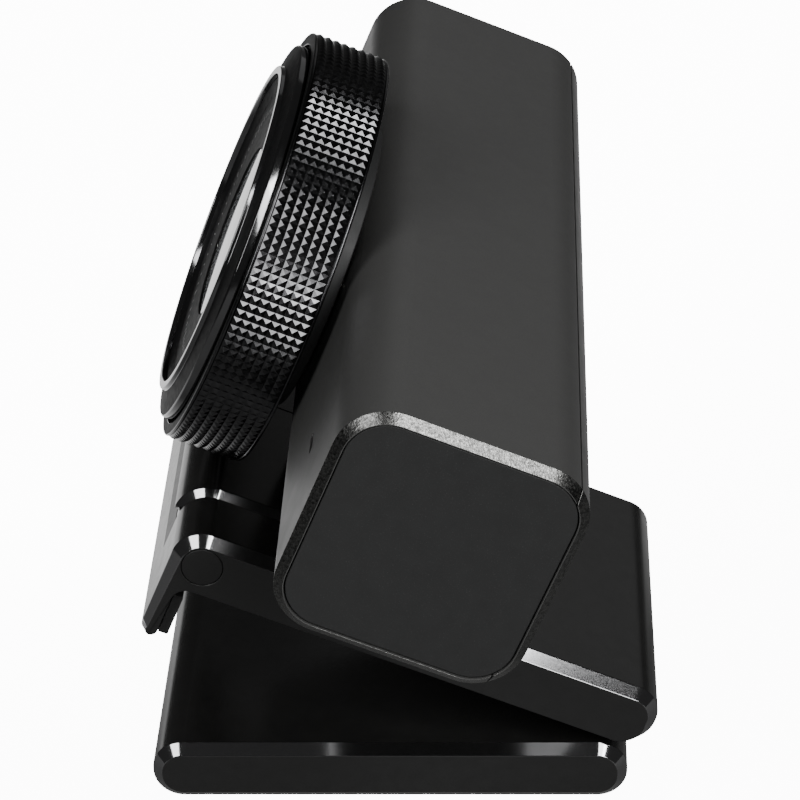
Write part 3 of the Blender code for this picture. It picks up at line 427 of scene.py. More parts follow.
def edged_prism(outline, end, depth, place):
    """A prism along X whose ends are chamfered, each (y, z, inset) of the outline by its inset.

    The chamfers take the second material and the end faces the third.
    """
    outline = steadied(outline)
    ahead = outline[1:] + outline[:1]
    area = sum(a[0] * b[1] - b[0] * a[1] for a, b in zip(outline, ahead))
    inner = []
    for before, (y, z, inset), after in zip(outline[-1:] + outline[:-1], outline, ahead):
        run = Vector((after[0] - before[0], after[1] - before[1])).normalized()
        inward = Vector((-run.y, run.x)) * math.copysign(inset, area)
        inner.append((y + inward.x, z + inward.y))
    outer = [(y, z) for y, z, _ in outline]
    rings = [[(x, *p) for p in line] for x, line in
             ((-end, inner), (depth - end, outer), (end - depth, outer), (end, inner))]
    shape = skin(rings)
    for face in shape.faces:
        places = [abs(v.co.x) for v in face.verts]
        if max(places) > end - HAIR:
            face.material_index = 2 if min(places) > end - HAIR else 1
    return mesh_from(shape, place, 25)


# Node trees for materials

def wired(tree, kind, settings=None, **inputs):
    """A new node. Its inputs are values, or sockets to link, and _0 is its first input."""
    node = tree.nodes.new(kind)
    for key, value in (settings or {}).items():
        setattr(node, key, value)
    for key, value in inputs.items():
        socket = node.inputs[int(key[1:]) if key[1:].isdigit() else key.replace("_", " ")]
        if isinstance(value, bpy.types.NodeSocket):
            tree.links.new(value, socket)
        else:
            socket.default_value = value
    return node


class Surface:
    """A material under construction: its tree, its shader and the object's coordinates."""

    def __init__(self, name, base, roughness, metallic=0.0):
        material = bpy.data.materials.new(name)
        material.use_nodes = True
        self.tree = material.node_tree
        self.shader = self.tree.nodes["Principled BSDF"]
        self.set("Base Color", (*base, 1.0))
        self.set("Roughness", roughness)
        self.set("Metallic", metallic)
        self.base = base
        self.place = wired(self.tree, "ShaderNodeTexCoord").outputs["Object"]

    def set(self, name, value):
        """Give one of the shader's inputs a value or a link."""
        socket = self.shader.inputs[name]
        if isinstance(value, bpy.types.NodeSocket):
            self.tree.links.new(value, socket)
        else:
            socket.default_value = value

    def noise(self, scale, detail=2.0, rough=0.5, stretch=None):
        """Noise of a scale per metre, stretched along some axes if asked."""
        place = self.place
        if stretch:
            place = wired(self.tree, "ShaderNodeMapping", Vector=place, Scale=stretch).outputs[0]
        return wired(self.tree, "ShaderNodeTexNoise", Vector=place, Scale=scale, Detail=detail,
                     Roughness=rough).outputs["Fac"]

    def cells(self, scale, output="Color"):
        """Voronoi cells of a scale per metre."""
        node = wired(self.tree, "ShaderNodeTexVoronoi", Vector=self.place, Scale=scale)
        return node.outputs[output]

    def shade(self, source, darker, lighter, from_low=0.3, from_high=0.7):
        """Let the base colour go from a darker to a lighter share of itself."""
        ramp = wired(self.tree, "ShaderNodeValToRGB", Fac=source)
        for element, place, share in zip(ramp.color_ramp.elements, (from_low, from_high),
                                         (darker, lighter)):
            element.position = place
            element.color = (*(min(1.0, c * share) for c in self.base), 1.0)
        self.set("Base Color", ramp.outputs["Color"])

    def roughen(self, source, low, high):
        """Let the roughness follow a pattern."""
        node = wired(self.tree, "ShaderNodeMapRange", Value=source, From_Min=0.3, From_Max=0.7,
                     To_Min=low, To_Max=high)
        self.set("Roughness", node.outputs["Result"])

    def bump(self, *layers):
        """Stack bumps, each a (source, height in metres, strength)."""
        below = {}
        for source, height, strength in layers:
            node = wired(self.tree, "ShaderNodeBump", Height=source, Distance=height,
                         Strength=strength, **below)
            below = {"Normal": node.outputs["Normal"]}
        self.set("Normal", below["Normal"])


LOOKS = {}


def look(base, roughness, metallic=0.0):
    """Keep a look's function with its colour, roughness and metal. A user's colour is a name."""
    def keep(build):
        LOOKS[build.__name__] = (build, base, roughness, metallic)
        return build
    return keep


@look("bar", 0.42)
def satin_bar(s):
    """Fine-blasted black metal: soft grain and a slightly uneven sheen."""
    grain = s.noise(9000, 3.0, 0.6)
    s.shade(grain, 0.82, 1.2)
    s.roughen(s.noise(260, 4.0, 0.6), 0.40, 0.46)
    s.bump((grain, 0.006 * MM, 0.35), (s.noise(2600), 0.006 * MM, 0.25))


@look((0.115, 0.115, 0.112), 0.34, 1.0)
def blasted_chamfer(s):
    """Coarse bright grain on the cut edge at the bar's ends."""
    flakes = s.cells(5200)
    s.shade(flakes, 0.45, 1.15, 0.15, 0.85)
    s.roughen(s.noise(4200), 0.20, 0.36)
    s.bump((s.cells(5200, "Distance"), 0.05 * MM, 0.25), (s.noise(3800, 3.0), 0.03 * MM, 0.25))


@look("end_cap", 0.62)
def matt_cap(s):
    """Moulded matte plastic with a sparse fine speckle."""
    speck = s.noise(7500, 1.0, 0.4)
    s.shade(speck, 0.9, 2.2, 0.62, 0.80)
    s.roughen(s.noise(500, 3.0), 0.58, 0.66)
    s.bump((s.noise(6000, 3.0, 0.65), 0.008 * MM, 0.3))


@look("stand", 0.20)
def stand_gloss(s):
    """Smooth lacquered metal with a faint waviness."""
    s.shade(s.noise(400, 3.0), 0.9, 1.12)
    s.roughen(s.noise(900, 4.0, 0.6), 0.17, 0.23)
    s.bump((s.noise(7000), 0.002 * MM, 0.12))


@look((0.0065, 0.0065, 0.0064), 0.58)
def stand_matt(s):
    """The matte end faces of the stand."""
    s.shade(s.noise(5200), 0.88, 1.15)
    s.roughen(s.noise(800, 3.0), 0.54, 0.62)
    s.bump((s.noise(8200, 3.0, 0.6), 0.006 * MM, 0.25))


@look((0.28, 0.28, 0.285), 0.07, 1.0)
def polished_chamfer(s):
    """Diamond-cut chamfers, dark and mirror-smooth with hair-fine cutting lines."""
    lines = s.noise(900, 2.0, 0.5, (1.0, 26.0, 26.0))
    s.shade(lines, 0.85, 1.15)
    s.roughen(lines, 0.05, 0.10)
    s.set("Specular IOR Level", 0.8)
    s.bump((lines, 0.001 * MM, 0.08))


@look((0.058, 0.058, 0.060), 0.18, 1.0)
def knurled_metal(s):
    """Black anodised metal with bright, slightly burnished facets."""
    s.shade(s.noise(1500, 3.0), 0.8, 1.25)
    s.roughen(s.noise(2400, 3.0, 0.6), 0.15, 0.24)
    s.bump((s.noise(9000), 0.003 * MM, 0.2))


@look("gloss", 0.10, 1.0)
def gloss_black(s):
    """Deep gloss black of the front rings."""
    s.shade(s.noise(300), 0.9, 1.1)
    s.roughen(s.noise(1200, 3.0), 0.08, 0.13)
    s.bump((s.noise(5200), 0.001 * MM, 0.06))


@look((0.008, 0.008, 0.0082), 0.5)
def satin_dish(s):
    """Satin black of the dish round the glass."""
    s.shade(s.noise(2600), 0.85, 1.2)
    s.roughen(s.noise(1500, 3.0), 0.45, 0.55)
    s.set("Specular IOR Level", 0.04)
    s.bump((s.noise(7000), 0.002 * MM, 0.12))


@look((0.006, 0.006, 0.006), 0.7)
def dark_baffle(s):
    """Matte black of the lens barrel's inside."""
    s.shade(s.noise(3000), 0.8, 1.2)
    s.roughen(s.noise(1500), 0.62, 0.78)
    s.bump((s.noise(6000), 0.006 * MM, 0.3))


@look((0.22, 0.22, 0.22), 0.45)
def printed_marks(s):
    """Grey ink of the fine marks round the lens."""
    s.shade(s.noise(6000), 0.85, 1.1)
    s.roughen(s.noise(3000), 0.4, 0.5)
    s.bump((s.noise(9000), 0.002 * MM, 0.2))


@look("rubber", 0.78)
def soft_rubber(s):
    """Silicone pads with a fine pebble."""
    s.shade(s.noise(700, 4.0, 0.6), 0.8, 1.3)
    s.roughen(s.noise(1600, 3.0), 0.7, 0.86)
    s.bump((s.cells(3600, "Distance"), 0.02 * MM, 0.35), (s.noise(9000), 0.008 * MM, 0.3))


@look("steel", 0.28, 1.0)
def brushed_steel(s):
    """Turned steel with fine tool lines."""
    lines = s.noise(1400, 3.0, 0.6, (14.0, 1.0, 1.0))
    s.shade(lines, 0.82, 1.05)
    s.roughen(lines, 0.22, 0.36)
    s.bump((lines, 0.002 * MM, 0.15))


@look("brass", 0.3, 1.0)
def turned_brass(s):
    """Machined brass, a little dulled."""
    s.shade(s.noise(900, 4.0, 0.6), 0.75, 1.08)
    s.roughen(s.noise(1800, 3.0), 0.24, 0.4)
    s.bump((s.noise(5000, 2.0, 0.5, (1.0, 1.0, 8.0)), 0.003 * MM, 0.2))


@look((0.62, 0.62, 0.63), 0.38, 1.0)
def cast_aluminium(s):
    """Bare aluminium with a fine satin grain."""
    s.shade(s.noise(2400, 3.0), 0.85, 1.05)
    s.roughen(s.noise(1800, 3.0), 0.32, 0.45)
    s.bump((s.noise(7000), 0.004 * MM, 0.25))


@look((0.014, 0.014, 0.014), 0.55)
def moulded_inside(s):
    """Plain black moulding of the pieces inside."""
    s.shade(s.noise(1800, 3.0), 0.85, 1.2)
    s.roughen(s.noise(1500, 3.0), 0.5, 0.62)
    s.bump((s.noise(5200), 0.006 * MM, 0.25))


@look("board", 0.34)
def circuit_board(s):
    """Green solder mask with darker and paler copper fields under it."""
    s.shade(s.cells(420), 0.7, 1.5, 0.2, 0.8)
    s.roughen(s.noise(2600), 0.3, 0.4)
    s.set("Coat Weight", 0.3)
    s.bump((s.cells(420, "Distance"), 0.02 * MM, 0.3))


@look((0.93, 0.95, 0.97), 0.02)
def optical_glass(s):
    """Clear coated glass."""
    s.set("Transmission Weight", 1.0)
    s.set("Coat Weight", 1.0)
    s.set("IOR", 1.62)
    s.roughen(s.noise(800), 0.012, 0.03)


@look((0.012, 0.010, 0.020), 0.03)
def coated_lens(s):
    """A lens element with a violet and green coating."""
    s.set("Specular Tint", (0.55, 0.50, 0.95, 1.0))
    s.set("Specular IOR Level", 0.9)
    s.set("Coat Weight", 0.6)
    s.set("Coat Tint", (0.45, 0.85, 0.60, 1.0))
    s.shade(s.noise(160, 1.0), 0.7, 1.4)
    s.roughen(s.noise(600), 0.02, 0.05)


def finish(name):
    """A material by its name, made the first time it is asked for."""
    if name not in bpy.data.materials:
        build, base, roughness, metallic = LOOKS[name]
        if isinstance(base, str):
            base = getattr(bpy.context.scene.camera_colours, base)
        build(Surface(name, base, roughness, metallic))
    return bpy.data.materials[name]


# Geometry node trees

class Growth:
    """A geometry node tree under construction, with named inputs."""

    def __init__(self, name):
        self.tree = bpy.data.node_groups.new(name, "GeometryNodeTree")
        for way in ("INPUT", "OUTPUT"):
            self.tree.interface.new_socket("Geometry", in_out=way, socket_type="NodeSocketGeometry")
        self.values = {}

    def ask(self, **inputs):
        """Add named inputs with the values that this piece uses, and give their sockets."""
        kinds = {int: "NodeSocketInt", float: "NodeSocketFloat",
                 bpy.types.Material: "NodeSocketMaterial"}
        for name, value in inputs.items():
            socket = self.tree.interface.new_socket(name, in_out="INPUT",
                                                    socket_type=kinds[type(value)])
            self.values[socket.identifier] = value
        source = self.add("NodeGroupInput")
        return [source.outputs[name] for name in inputs]

    def add(self, kind, settings=None, **inputs):
        """A node of this tree."""
        return wired(self.tree, kind, settings, **inputs)

    def maths(self, operation, *values):
        """One arithmetic step."""
        inputs = {"_%d" % i: value for i, value in enumerate(values)}
        return self.add("ShaderNodeMath", {"operation": operation}, **inputs).outputs[0]

    def vector(self, x, y=0.0, z=0.0):
        """A vector of three values."""
        return self.add("ShaderNodeCombineXYZ", X=x, Y=y, Z=z).outputs[0]

    def index(self):
        """The number of each point."""
        return self.add("GeometryNodeInputIndex").outputs[0]

    def angles(self, around):
        """The angle of each point on a ring, and the step between two."""
        step = self.maths("DIVIDE", math.tau, around)
        return self.maths("MULTIPLY", self.maths("MODULO", self.index(), around), step), step

    def on_circle(self, radius, angle, height):
        """A point at a radius, an angle and a height."""
        return self.vector(self.maths("MULTIPLY", radius, self.maths("COSINE", angle)),
                           self.maths("MULTIPLY", radius, self.maths("SINE", angle)), height)

    def set_out(self, unit, count, place, **turn_and_scale):
        """A unit mesh set on a number of places."""
        points = self.add("GeometryNodePoints", Count=count, Position=place).outputs[0]
        return self.add("GeometryNodeInstanceOnPoints", Points=points, Instance=unit,
                        **turn_and_scale).outputs[0]

    def turned(self, *angles):
        """A rotation from three angles."""
        return self.add("FunctionNodeEulerToRotation", Euler=self.vector(*angles)).outputs[0]

    def mesh(self, geometry, material, place):
        """Realize the instances with their material, and run the tree once as a plain mesh."""
        real = self.add("GeometryNodeRealizeInstances", Geometry=geometry).outputs[0]
        flat = self.add("GeometryNodeSetShadeSmooth", Geometry=real, Shade_Smooth=False).outputs[0]
        made = self.add("GeometryNodeSetMaterial", Geometry=flat, Material=material).outputs[0]
        self.add("NodeGroupOutput", _0=made)
        holder = bpy.data.objects.new("holder", bpy.data.meshes.new("empty"))
        bpy.context.scene.collection.objects.link(holder)
        modifier = holder.modifiers.new("grow", "NODES")
        modifier.node_group = self.tree
        for identifier, value in self.values.items():
            modifier[identifier] = value
        depsgraph = bpy.context.evaluated_depsgraph_get()
        made = bpy.data.meshes.new_from_object(holder.evaluated_get(depsgraph))
        bpy.data.objects.remove(holder)
        made.transform(place)
        return made


def knurl(rows, around, radius, start, width, height, material):
    """Square pyramids in rows round a cylinder, points outwards."""
    grow = Growth("knurl")
    rows, around, radius, start, width, height, material = grow.ask(
        Rows=rows, Around=around, Radius=radius, Start=start, Width=width, Height=height,
        Finish=material)
    angle, step = grow.angles(around)
    pitch = grow.maths("DIVIDE", width, rows)
    row = grow.maths("FLOOR", grow.maths("DIVIDE", grow.index(), around))
    along = grow.maths("MULTIPLY", grow.maths("ADD", row, 0.5), pitch)
    place = grow.on_circle(radius, angle, grow.maths("ADD", along, start))
    foot = grow.maths("DIVIDE", pitch, math.sqrt(2))
    pyramid = grow.add("GeometryNodeMeshCone", {"fill_type": "NGON"}, Vertices=4,
                       Radius_Bottom=foot, Radius_Top=grow.maths("MULTIPLY", foot, 0.05),
                       Depth=height).outputs["Mesh"]
    squared = grow.add("GeometryNodeTransform", Geometry=pyramid,
                       Rotation=(0.0, 0.0, math.radians(45))).outputs[0]
    across = grow.maths("DIVIDE", grow.maths("MULTIPLY", radius, step), pitch)
    laid = grow.set_out(squared, grow.maths("MULTIPLY", rows, around), place,
                        Rotation=grow.turned(0.0, math.radians(90), angle),
                        Scale=grow.vector(1.0, across, 1.0))
    return grow.mesh(laid, material, LENS)


def mark_ring(around, radius, height, slope, size, material):
    """Short radial marks lying on a shallow cone, every sixth one longer."""
    grow = Growth("mark_ring")
    around, radius, height, slope, long, wide, thick, material = grow.ask(
        Around=around, Radius=radius, Height=height, Slope=slope, Long=size[0], Wide=size[1],
        Thick=size[2], Finish=material)
    angle, _ = grow.angles(around)
    mark = grow.add("GeometryNodeMeshCube", Size=grow.vector(long, wide, thick)).outputs["Mesh"]
    sixth = grow.maths("COMPARE", grow.maths("MODULO", grow.index(), 6.0), 0.0)
    stretch = grow.maths("ADD", 1.0, grow.maths("MULTIPLY", sixth, 0.9))
    laid = grow.set_out(mark, around, grow.on_circle(radius, angle, height),
                        Rotation=grow.turned(0.0, grow.maths("MULTIPLY", slope, -1.0), angle),
                        Scale=grow.vector(stretch, 1.0, 1.0))
    return grow.mesh(laid, material, LENS)


def contact_row(count, pitch, size, material, place):
    """Flat contacts side by side along X."""
    grow = Growth("contact_row")
    count, pitch, wide, long, thick, material = grow.ask(
        Count=count, Pitch=pitch, Wide=size[0], Long=size[1], Thick=size[2], Finish=material)
    half = grow.maths("DIVIDE", grow.maths("SUBTRACT", count, 1.0), 2.0)
    across = grow.maths("MULTIPLY", grow.maths("SUBTRACT", grow.index(), half), pitch)
    contact = grow.add("GeometryNodeMeshCube", Size=grow.vector(wide, long, thick)).outputs["Mesh"]
    laid = grow.set_out(contact, count, grow.vector(across))
    return grow.mesh(laid, material, place)


# The base

STAND_LOOKS = ("stand_gloss", "polished_chamfer", "stand_matt")


def base_slab(sizes):
    """The slab with its round long edges, polished ends and the notch of the fold hinge."""
    low, high = span("base_slab")
    half = (high.z - low.z) / 2
    radius = half - sizes.edge_flat
    mid = (high.z + low.z) / 2
    y = high.y - radius
    corners = ((y, mid + half - radius, 0), (-y, mid + half - radius, 90),
               (-y, mid - half + radius, 180), (y, mid - half + radius, 270))
    outline = []
    for cy, cz, start in corners:
        outline += weighted(arc((cy, cz), radius, start, start + 90), sizes.end_chamfer)
    slab = edged_prism(outline, high.x, sizes.end_chamfer, WORLD)
    lug = span("fold_washer_right")[1].x + GAP
    notch_y = centre_of("fold_pin")[1]
    notch = box_mesh((-lug, notch_y - radius - GAP, -OVERCUT), (lug, high.y * 2, high.z * 2), WORLD)
    pin = span("fold_pin", CLIP)[1]
    bore = rod(pin.z + GAP / 2, -pin.x - GAP, pin.x + GAP, CLIP, ALONG_X)
    foot_low, foot_high = span("foot_pad")
    margin = GAP / 2
    foot = prism_pad(foot_low - Vector((margin, margin, OVERCUT)),
                     foot_high + Vector((margin, margin, margin)), 2 * MM + margin)
    socket = span("tripod_socket")[1]
    pocket = rod(socket.x + margin, 0, socket.z + GAP, WORLD,
                 centre=(0, centre_of("tripod_socket")[1], 0))
    slab = joined(slab, (notch, bore, foot, pocket))
    piece("base_slab_shell", softened(slab), "base", STAND_LOOKS, ("base_slab",))


def prism_pad(low, high, radius, place=WORLD, edge=0.0):
    """A flat pad with rounded corners and, if asked, rounded rims."""
    half = ((high.x - low.x) / 2, (high.y - low.y) / 2)
    middle = ((high.x + low.x) / 2, (high.y + low.y) / 2)
    rings = []
    corners = [(0.0, low.z, 0), (radius, low.z, edge), (radius, high.z, edge), (0.0, high.z, 0)]
    path = [p for p in filleted(corners) if p[0] > 0] if edge else [(radius, low.z),
                                                                   (radius, high.z)]
    for grown, z in path:
        ring = []
        for i, (sx, sy) in enumerate(((1, 1), (-1, 1), (-1, -1), (1, -1))):
            centre = (middle[0] + sx * (half[0] - radius), middle[1] + sy * (half[1] - radius))
            ring += [(x, y, z) for x, y in arc(centre, grown, 90 * i, 90 * i + 90, 8)]
        rings.append(ring)
    return mesh_from(skin(rings), place)


def foot_and_socket(sizes):
    """The rubber foot, and the brass insert with its thread."""
    low, high = span("foot_pad")
    socket_low, socket_high = span("tripod_socket")
    outer = socket_high.x
    middle_y = centre_of("tripod_socket")[1]
    pad = prism_pad(low, high, 2 * MM, WORLD, 0.2 * MM)
    hole = rod(outer, -OVERCUT, OVERCUT, WORLD, centre=(0, middle_y, 0))
    pad = softened(joined(pad, (hole,)), 0.1 * MM)
    piece("foot_rubber", pad, "base", ("soft_rubber",), ("foot_pad",))

    bore = 3.175 * MM
    crest = bore - 0.45 * MM
    profile = [(outer - 0.2 * MM, socket_high.z), (outer, socket_high.z - 0.2 * MM),
               (outer, socket_low.z + 0.1 * MM), (outer - 0.1 * MM, socket_low.z),
               (bore + 0.35 * MM, socket_low.z)]
    z = socket_low.z + 0.35 * MM
    while z < socket_high.z - sizes.thread_pitch:
        profile += [(bore, z), (crest, z + sizes.thread_pitch * 0.42),
                    (crest, z + sizes.thread_pitch * 0.58)]
        z += sizes.thread_pitch
    profile += [(bore, z), (bore, socket_high.z)]
    insert = lathe(profile, Matrix.Translation((0, middle_y, 0)), SMALL_STEPS * 2, 25)
    piece("tripod_insert", insert, "base", ("turned_brass",), ("tripod_socket",))


# The clip plate

def clip_outline(sizes, plate):
    """The plate with its rounded rear end and the lip that hooks down at the front."""
    half, mid, reach_y, lip, tip = plate
    radius = half - sizes.edge_flat
    rear = half - radius
    low = mid - half
    inside = -reach_y + lip
    tip_radius = lip / 2 - HAIR
    wide, fine = sizes.end_chamfer, sizes.under_chamfer
    outline = weighted(arc((rear, low + radius), radius, 0, -90), wide, fine)
    outline += weighted(arc((inside + sizes.lip_fillet, low - sizes.lip_fillet), sizes.lip_fillet,
                            90, 180, 8), fine)
    outline += weighted(arc((inside - tip_radius, tip + tip_radius), tip_radius, 0, -90, 6), fine)
    outline += weighted(arc((-reach_y + tip_radius, tip + tip_radius), tip_radius, 270, 180, 6),
                        fine, wide * 0.6)
    outline += weighted(arc((-reach_y + half, mid), half, 180, 90, 24), wide)
    outline += weighted(arc((rear, mid + half - radius), radius, 90, 0), wide)
    return outline


def clip_plate(sizes):
    """The plate, cut for the arm's slot, the scooped lip, the pads and the pins."""
    low, high = span("clip_plate", CLIP)
    arm_at = CLIP.inverted() @ ARM.translation
    mid, half = arm_at.z, high.z - arm_at.z
    reach_y = -low.y
    pad_low, pad_high = span("lip_pad", CLIP)
    lip, tip = pad_low.y - GAP + reach_y, pad_low.z - GAP
    outline = clip_outline(sizes, (half, mid, reach_y, lip, tip))
    plate = edged_prism(outline, high.x, sizes.end_chamfer, CLIP)

    lug_half = span("fold_washer_right")[0].x - GAP
    barrel = half - sizes.edge_flat
    lug_outline = arc((0, 0), barrel, 180, 360, 24) + [(barrel, mid), (-barrel, mid)]
    plate = joined(plate, (prism(lug_outline, -lug_half, lug_half, CLIP),), "UNION")

    arm_high = span("swing_arm", ARM)[1]
    slot = arm_high.x + sizes.arm_gap
    pocket = box_mesh((-slot, 0, -half + sizes.slot_floor),
                      (slot, arm_high.y + sizes.arm_gap, half + OVERCUT), ARM)
    clear = rod(half + sizes.arm_proud + sizes.arm_gap, -slot, slot, ARM, ALONG_X)
    scoop_slope = math.radians(20)
    scoop_place = CLIP @ Matrix.Translation((0, -reach_y, mid - half - sizes.scoop_below)) \
        @ Matrix.Rotation(-scoop_slope, 4, "X")
    scoop = box_mesh((-slot, -half, 0), (slot, 0, mid), scoop_place)
    pin_radius = span("arm_pin", ARM)[1].z
    fold_bore = rod(pin_radius + GAP / 2, -slot, slot, CLIP, ALONG_X)
    grip_low, grip_high = span("grip_pad", CLIP)
    margin = Vector((GAP / 2, GAP / 2, GAP / 2))
    recess = box_mesh(grip_low - margin - Vector((0, 0, OVERCUT)), grip_high + margin, CLIP)
    cap_low, cap_high = span("arm_pin_cap_right", ARM)
    seats = []
    for side in (-1, 1):
        start, end = sorted((side * (cap_low.x - GAP), side * (cap_high.x + OVERCUT)))
        seats.append(rod(cap_high.z + 0.05 * MM, start, end, ARM, ALONG_X))
    through = rod(pin_radius + GAP / 2, -cap_low.x, cap_low.x, ARM, ALONG_X)
    plate = joined(plate, (pocket, clear, scoop, fold_bore, recess, through, *seats))
    piece("clip_plate_shell", softened(plate), "clip", STAND_LOOKS, ("clip_plate",))

    grip = prism_pad(grip_low, grip_high, 0.6 * MM, CLIP, 0.15 * MM)
    piece("grip_rubber", grip, "clip", ("soft_rubber",), ("grip_pad",))
    pad_edge = 0.2 * MM
    pad_low.y -= GAP - HAIR
    section = filleted([(pad_low.y, pad_low.z, pad_edge / 2), (pad_high.y, pad_low.z, pad_edge),
                        (pad_high.y, pad_high.z, pad_edge), (pad_low.y, pad_high.z, pad_edge / 2)])
    pad = prism(section, pad_low.x, pad_high.x, CLIP)
    piece("lip_rubber", softened(pad, 0.06 * MM, 50), "clip", ("soft_rubber",),
          ("lip_pad",))
    for side, name in ((-1, "left"), (1, "right")):
        face, back = cap_high.x, cap_low.x
        profile = filleted([(0, face, 0), (cap_high.z, face, 0.09 * MM),
                            (cap_high.z, back, 0.05 * MM), (0, back, 0)])
        turn = Matrix.Rotation(math.radians(90 * side), 4, "Y")
        piece(f"pin_cap_{name}", lathe(profile, ARM @ turn, SMALL_STEPS), "clip",
              ("stand_matt",), (f"arm_pin_cap_{name}",))


# The swing arm and the swivel

def swing_arm(sizes):
    """The arm: a barrel round its pin, a flat tongue and the round boss of the swivel."""
    low, high = span("swing_arm", ARM)
    half = -low.z
    top = half + sizes.arm_proud
    under = -half + sizes.slot_floor + GAP
    meets = -math.degrees(math.asin(-under / half))
    tail = 1.5 * MM
    wide, fine = sizes.arm_chamfer, sizes.under_chamfer
    outline = weighted(arc((0, 0), top, 90, 180, 24), wide)
    outline += weighted(arc((0, 0), half, 180, 360 + meets, 28), fine)
    outline += weighted(arc((high.y - tail, under + tail), tail, -90, 0, 8), fine, wide)
    outline += weighted(arc((high.y - tail, top - tail), tail, 0, 90, 8), wide)
    arm = edged_prism(outline, high.x, sizes.arm_chamfer, ARM)
    boss_top = high.z
    swivel_at = ARM.inverted() @ SWIVEL.translation
    boss_place = ARM @ Matrix.Translation((0, swivel_at.y, 0))
    boss_radius = reach("swivel_puck", SWIVEL)
    soft = 0.35 * MM
    boss = lathe([(0, boss_top), (boss_radius - soft, boss_top), (boss_radius, boss_top - soft),
                  (boss_radius, top - GAP), (0, top - GAP)], boss_place)
    arm = joined(arm, (boss,), "UNION")
    pin_radius = span("arm_pin", ARM)[1].z + GAP / 2
    head_radius = reach("pan_bolt", SWIVEL) + GAP / 2
    arm = joined(arm, (rod(pin_radius, low.x * 2, high.x * 2, ARM, ALONG_X),
                       rod(pin_radius, low.z * 2, high.z * 2, boss_place),
                       rod(head_radius, low.z * 2, under + 1.5 * MM, boss_place)))
    piece("swing_arm_shell", softened(arm), "arm", STAND_LOOKS, ("swing_arm",))


def swivel_puck():
    """The turning puck with its fine waist groove, and its rubber pad."""
    low, high = span("swivel_puck", SWIVEL)
    radius = reach("swivel_puck", SWIVEL)
    bolt = span("pan_bolt", SWIVEL)[1].z + GAP
    bore = 1.8 * MM
    seat = reach("camera_stud", SWIVEL) + GAP / 2
    seat_floor = span("camera_stud", SWIVEL)[0].z - GAP / 2
    edge, fine = 0.5 * MM, 0.12 * MM
    groove, middle = 0.35 * MM, (low.z + high.z) / 2
    corners = [(0, seat_floor, 0), (seat, seat_floor, 0), (seat, high.z, fine),
               (radius - edge, high.z, fine), (radius, high.z - edge, fine),
               (radius, middle + groove, fine), (radius - groove, middle, 0),
               (radius, middle - groove, fine), (radius, low.z + edge, fine),
               (radius - edge, low.z, fine), (bore, low.z, fine), (bore, bolt, 0), (0, bolt, 0)]
    piece("puck_shell", turned(corners, SWIVEL, 40), "head", ("stand_gloss",),
          ("swivel_puck",))
    low, high = span("swivel_pad", SWIVEL)
    outer, inner = reach("swivel_pad", SWIVEL), 3.3 * MM
    pad = turned([(inner, high.z, fine), (outer, high.z, fine), (outer, low.z, fine),
                  (inner, low.z, fine)], SWIVEL, 40)
    piece("puck_rubber", pad, "head", ("soft_rubber",), ("swivel_pad",))


# The bar

def bar_measures():
    """Half the bar's length and half its section."""
    high = span("body_shell", HEAD)[1]
    return high.x, high.z


def blast_chamfers(mesh, sizes):
    """Give the chamfer round each end the blasted look."""
    end, half = bar_measures()
    corner = half * math.sqrt(2) - sizes.edge_radius * 0.62
    back = HEAD.inverted()
    for face in mesh.polygons:
        centre = back @ face.center
        slanted = 0.25 < abs((back.to_3x3() @ face.normal).x) < 0.95
        outside = max(abs(centre.y), abs(centre.z)) > half - sizes.rim or \
            Vector((centre.y, centre.z)).length > corner
        if slanted and outside and abs(centre.x) > end - sizes.end_chamfer - HAIR:
            face.material_index = 1


def end_path(sizes, pocket, inside, sign):
    """The (x, inset) path over one end of the bar, from the outside in."""
    end, _ = bar_measures()
    chamfer, soft = sizes.end_chamfer, 0.05 * MM
    corners = [(end / 2, -1 * MM, 0), (end / 2, 0, 0), (end - chamfer, 0, soft),
               (end, chamfer, soft / 2), (end, sizes.rim, soft / 2),
               (end - pocket, sizes.rim, soft), (end - pocket, inside, 0), (0, inside, 0)]
    path = [(x, inset) for x, inset in filleted(corners)[2:-1]]
    return [(sign * x, inset) for x, inset in path]


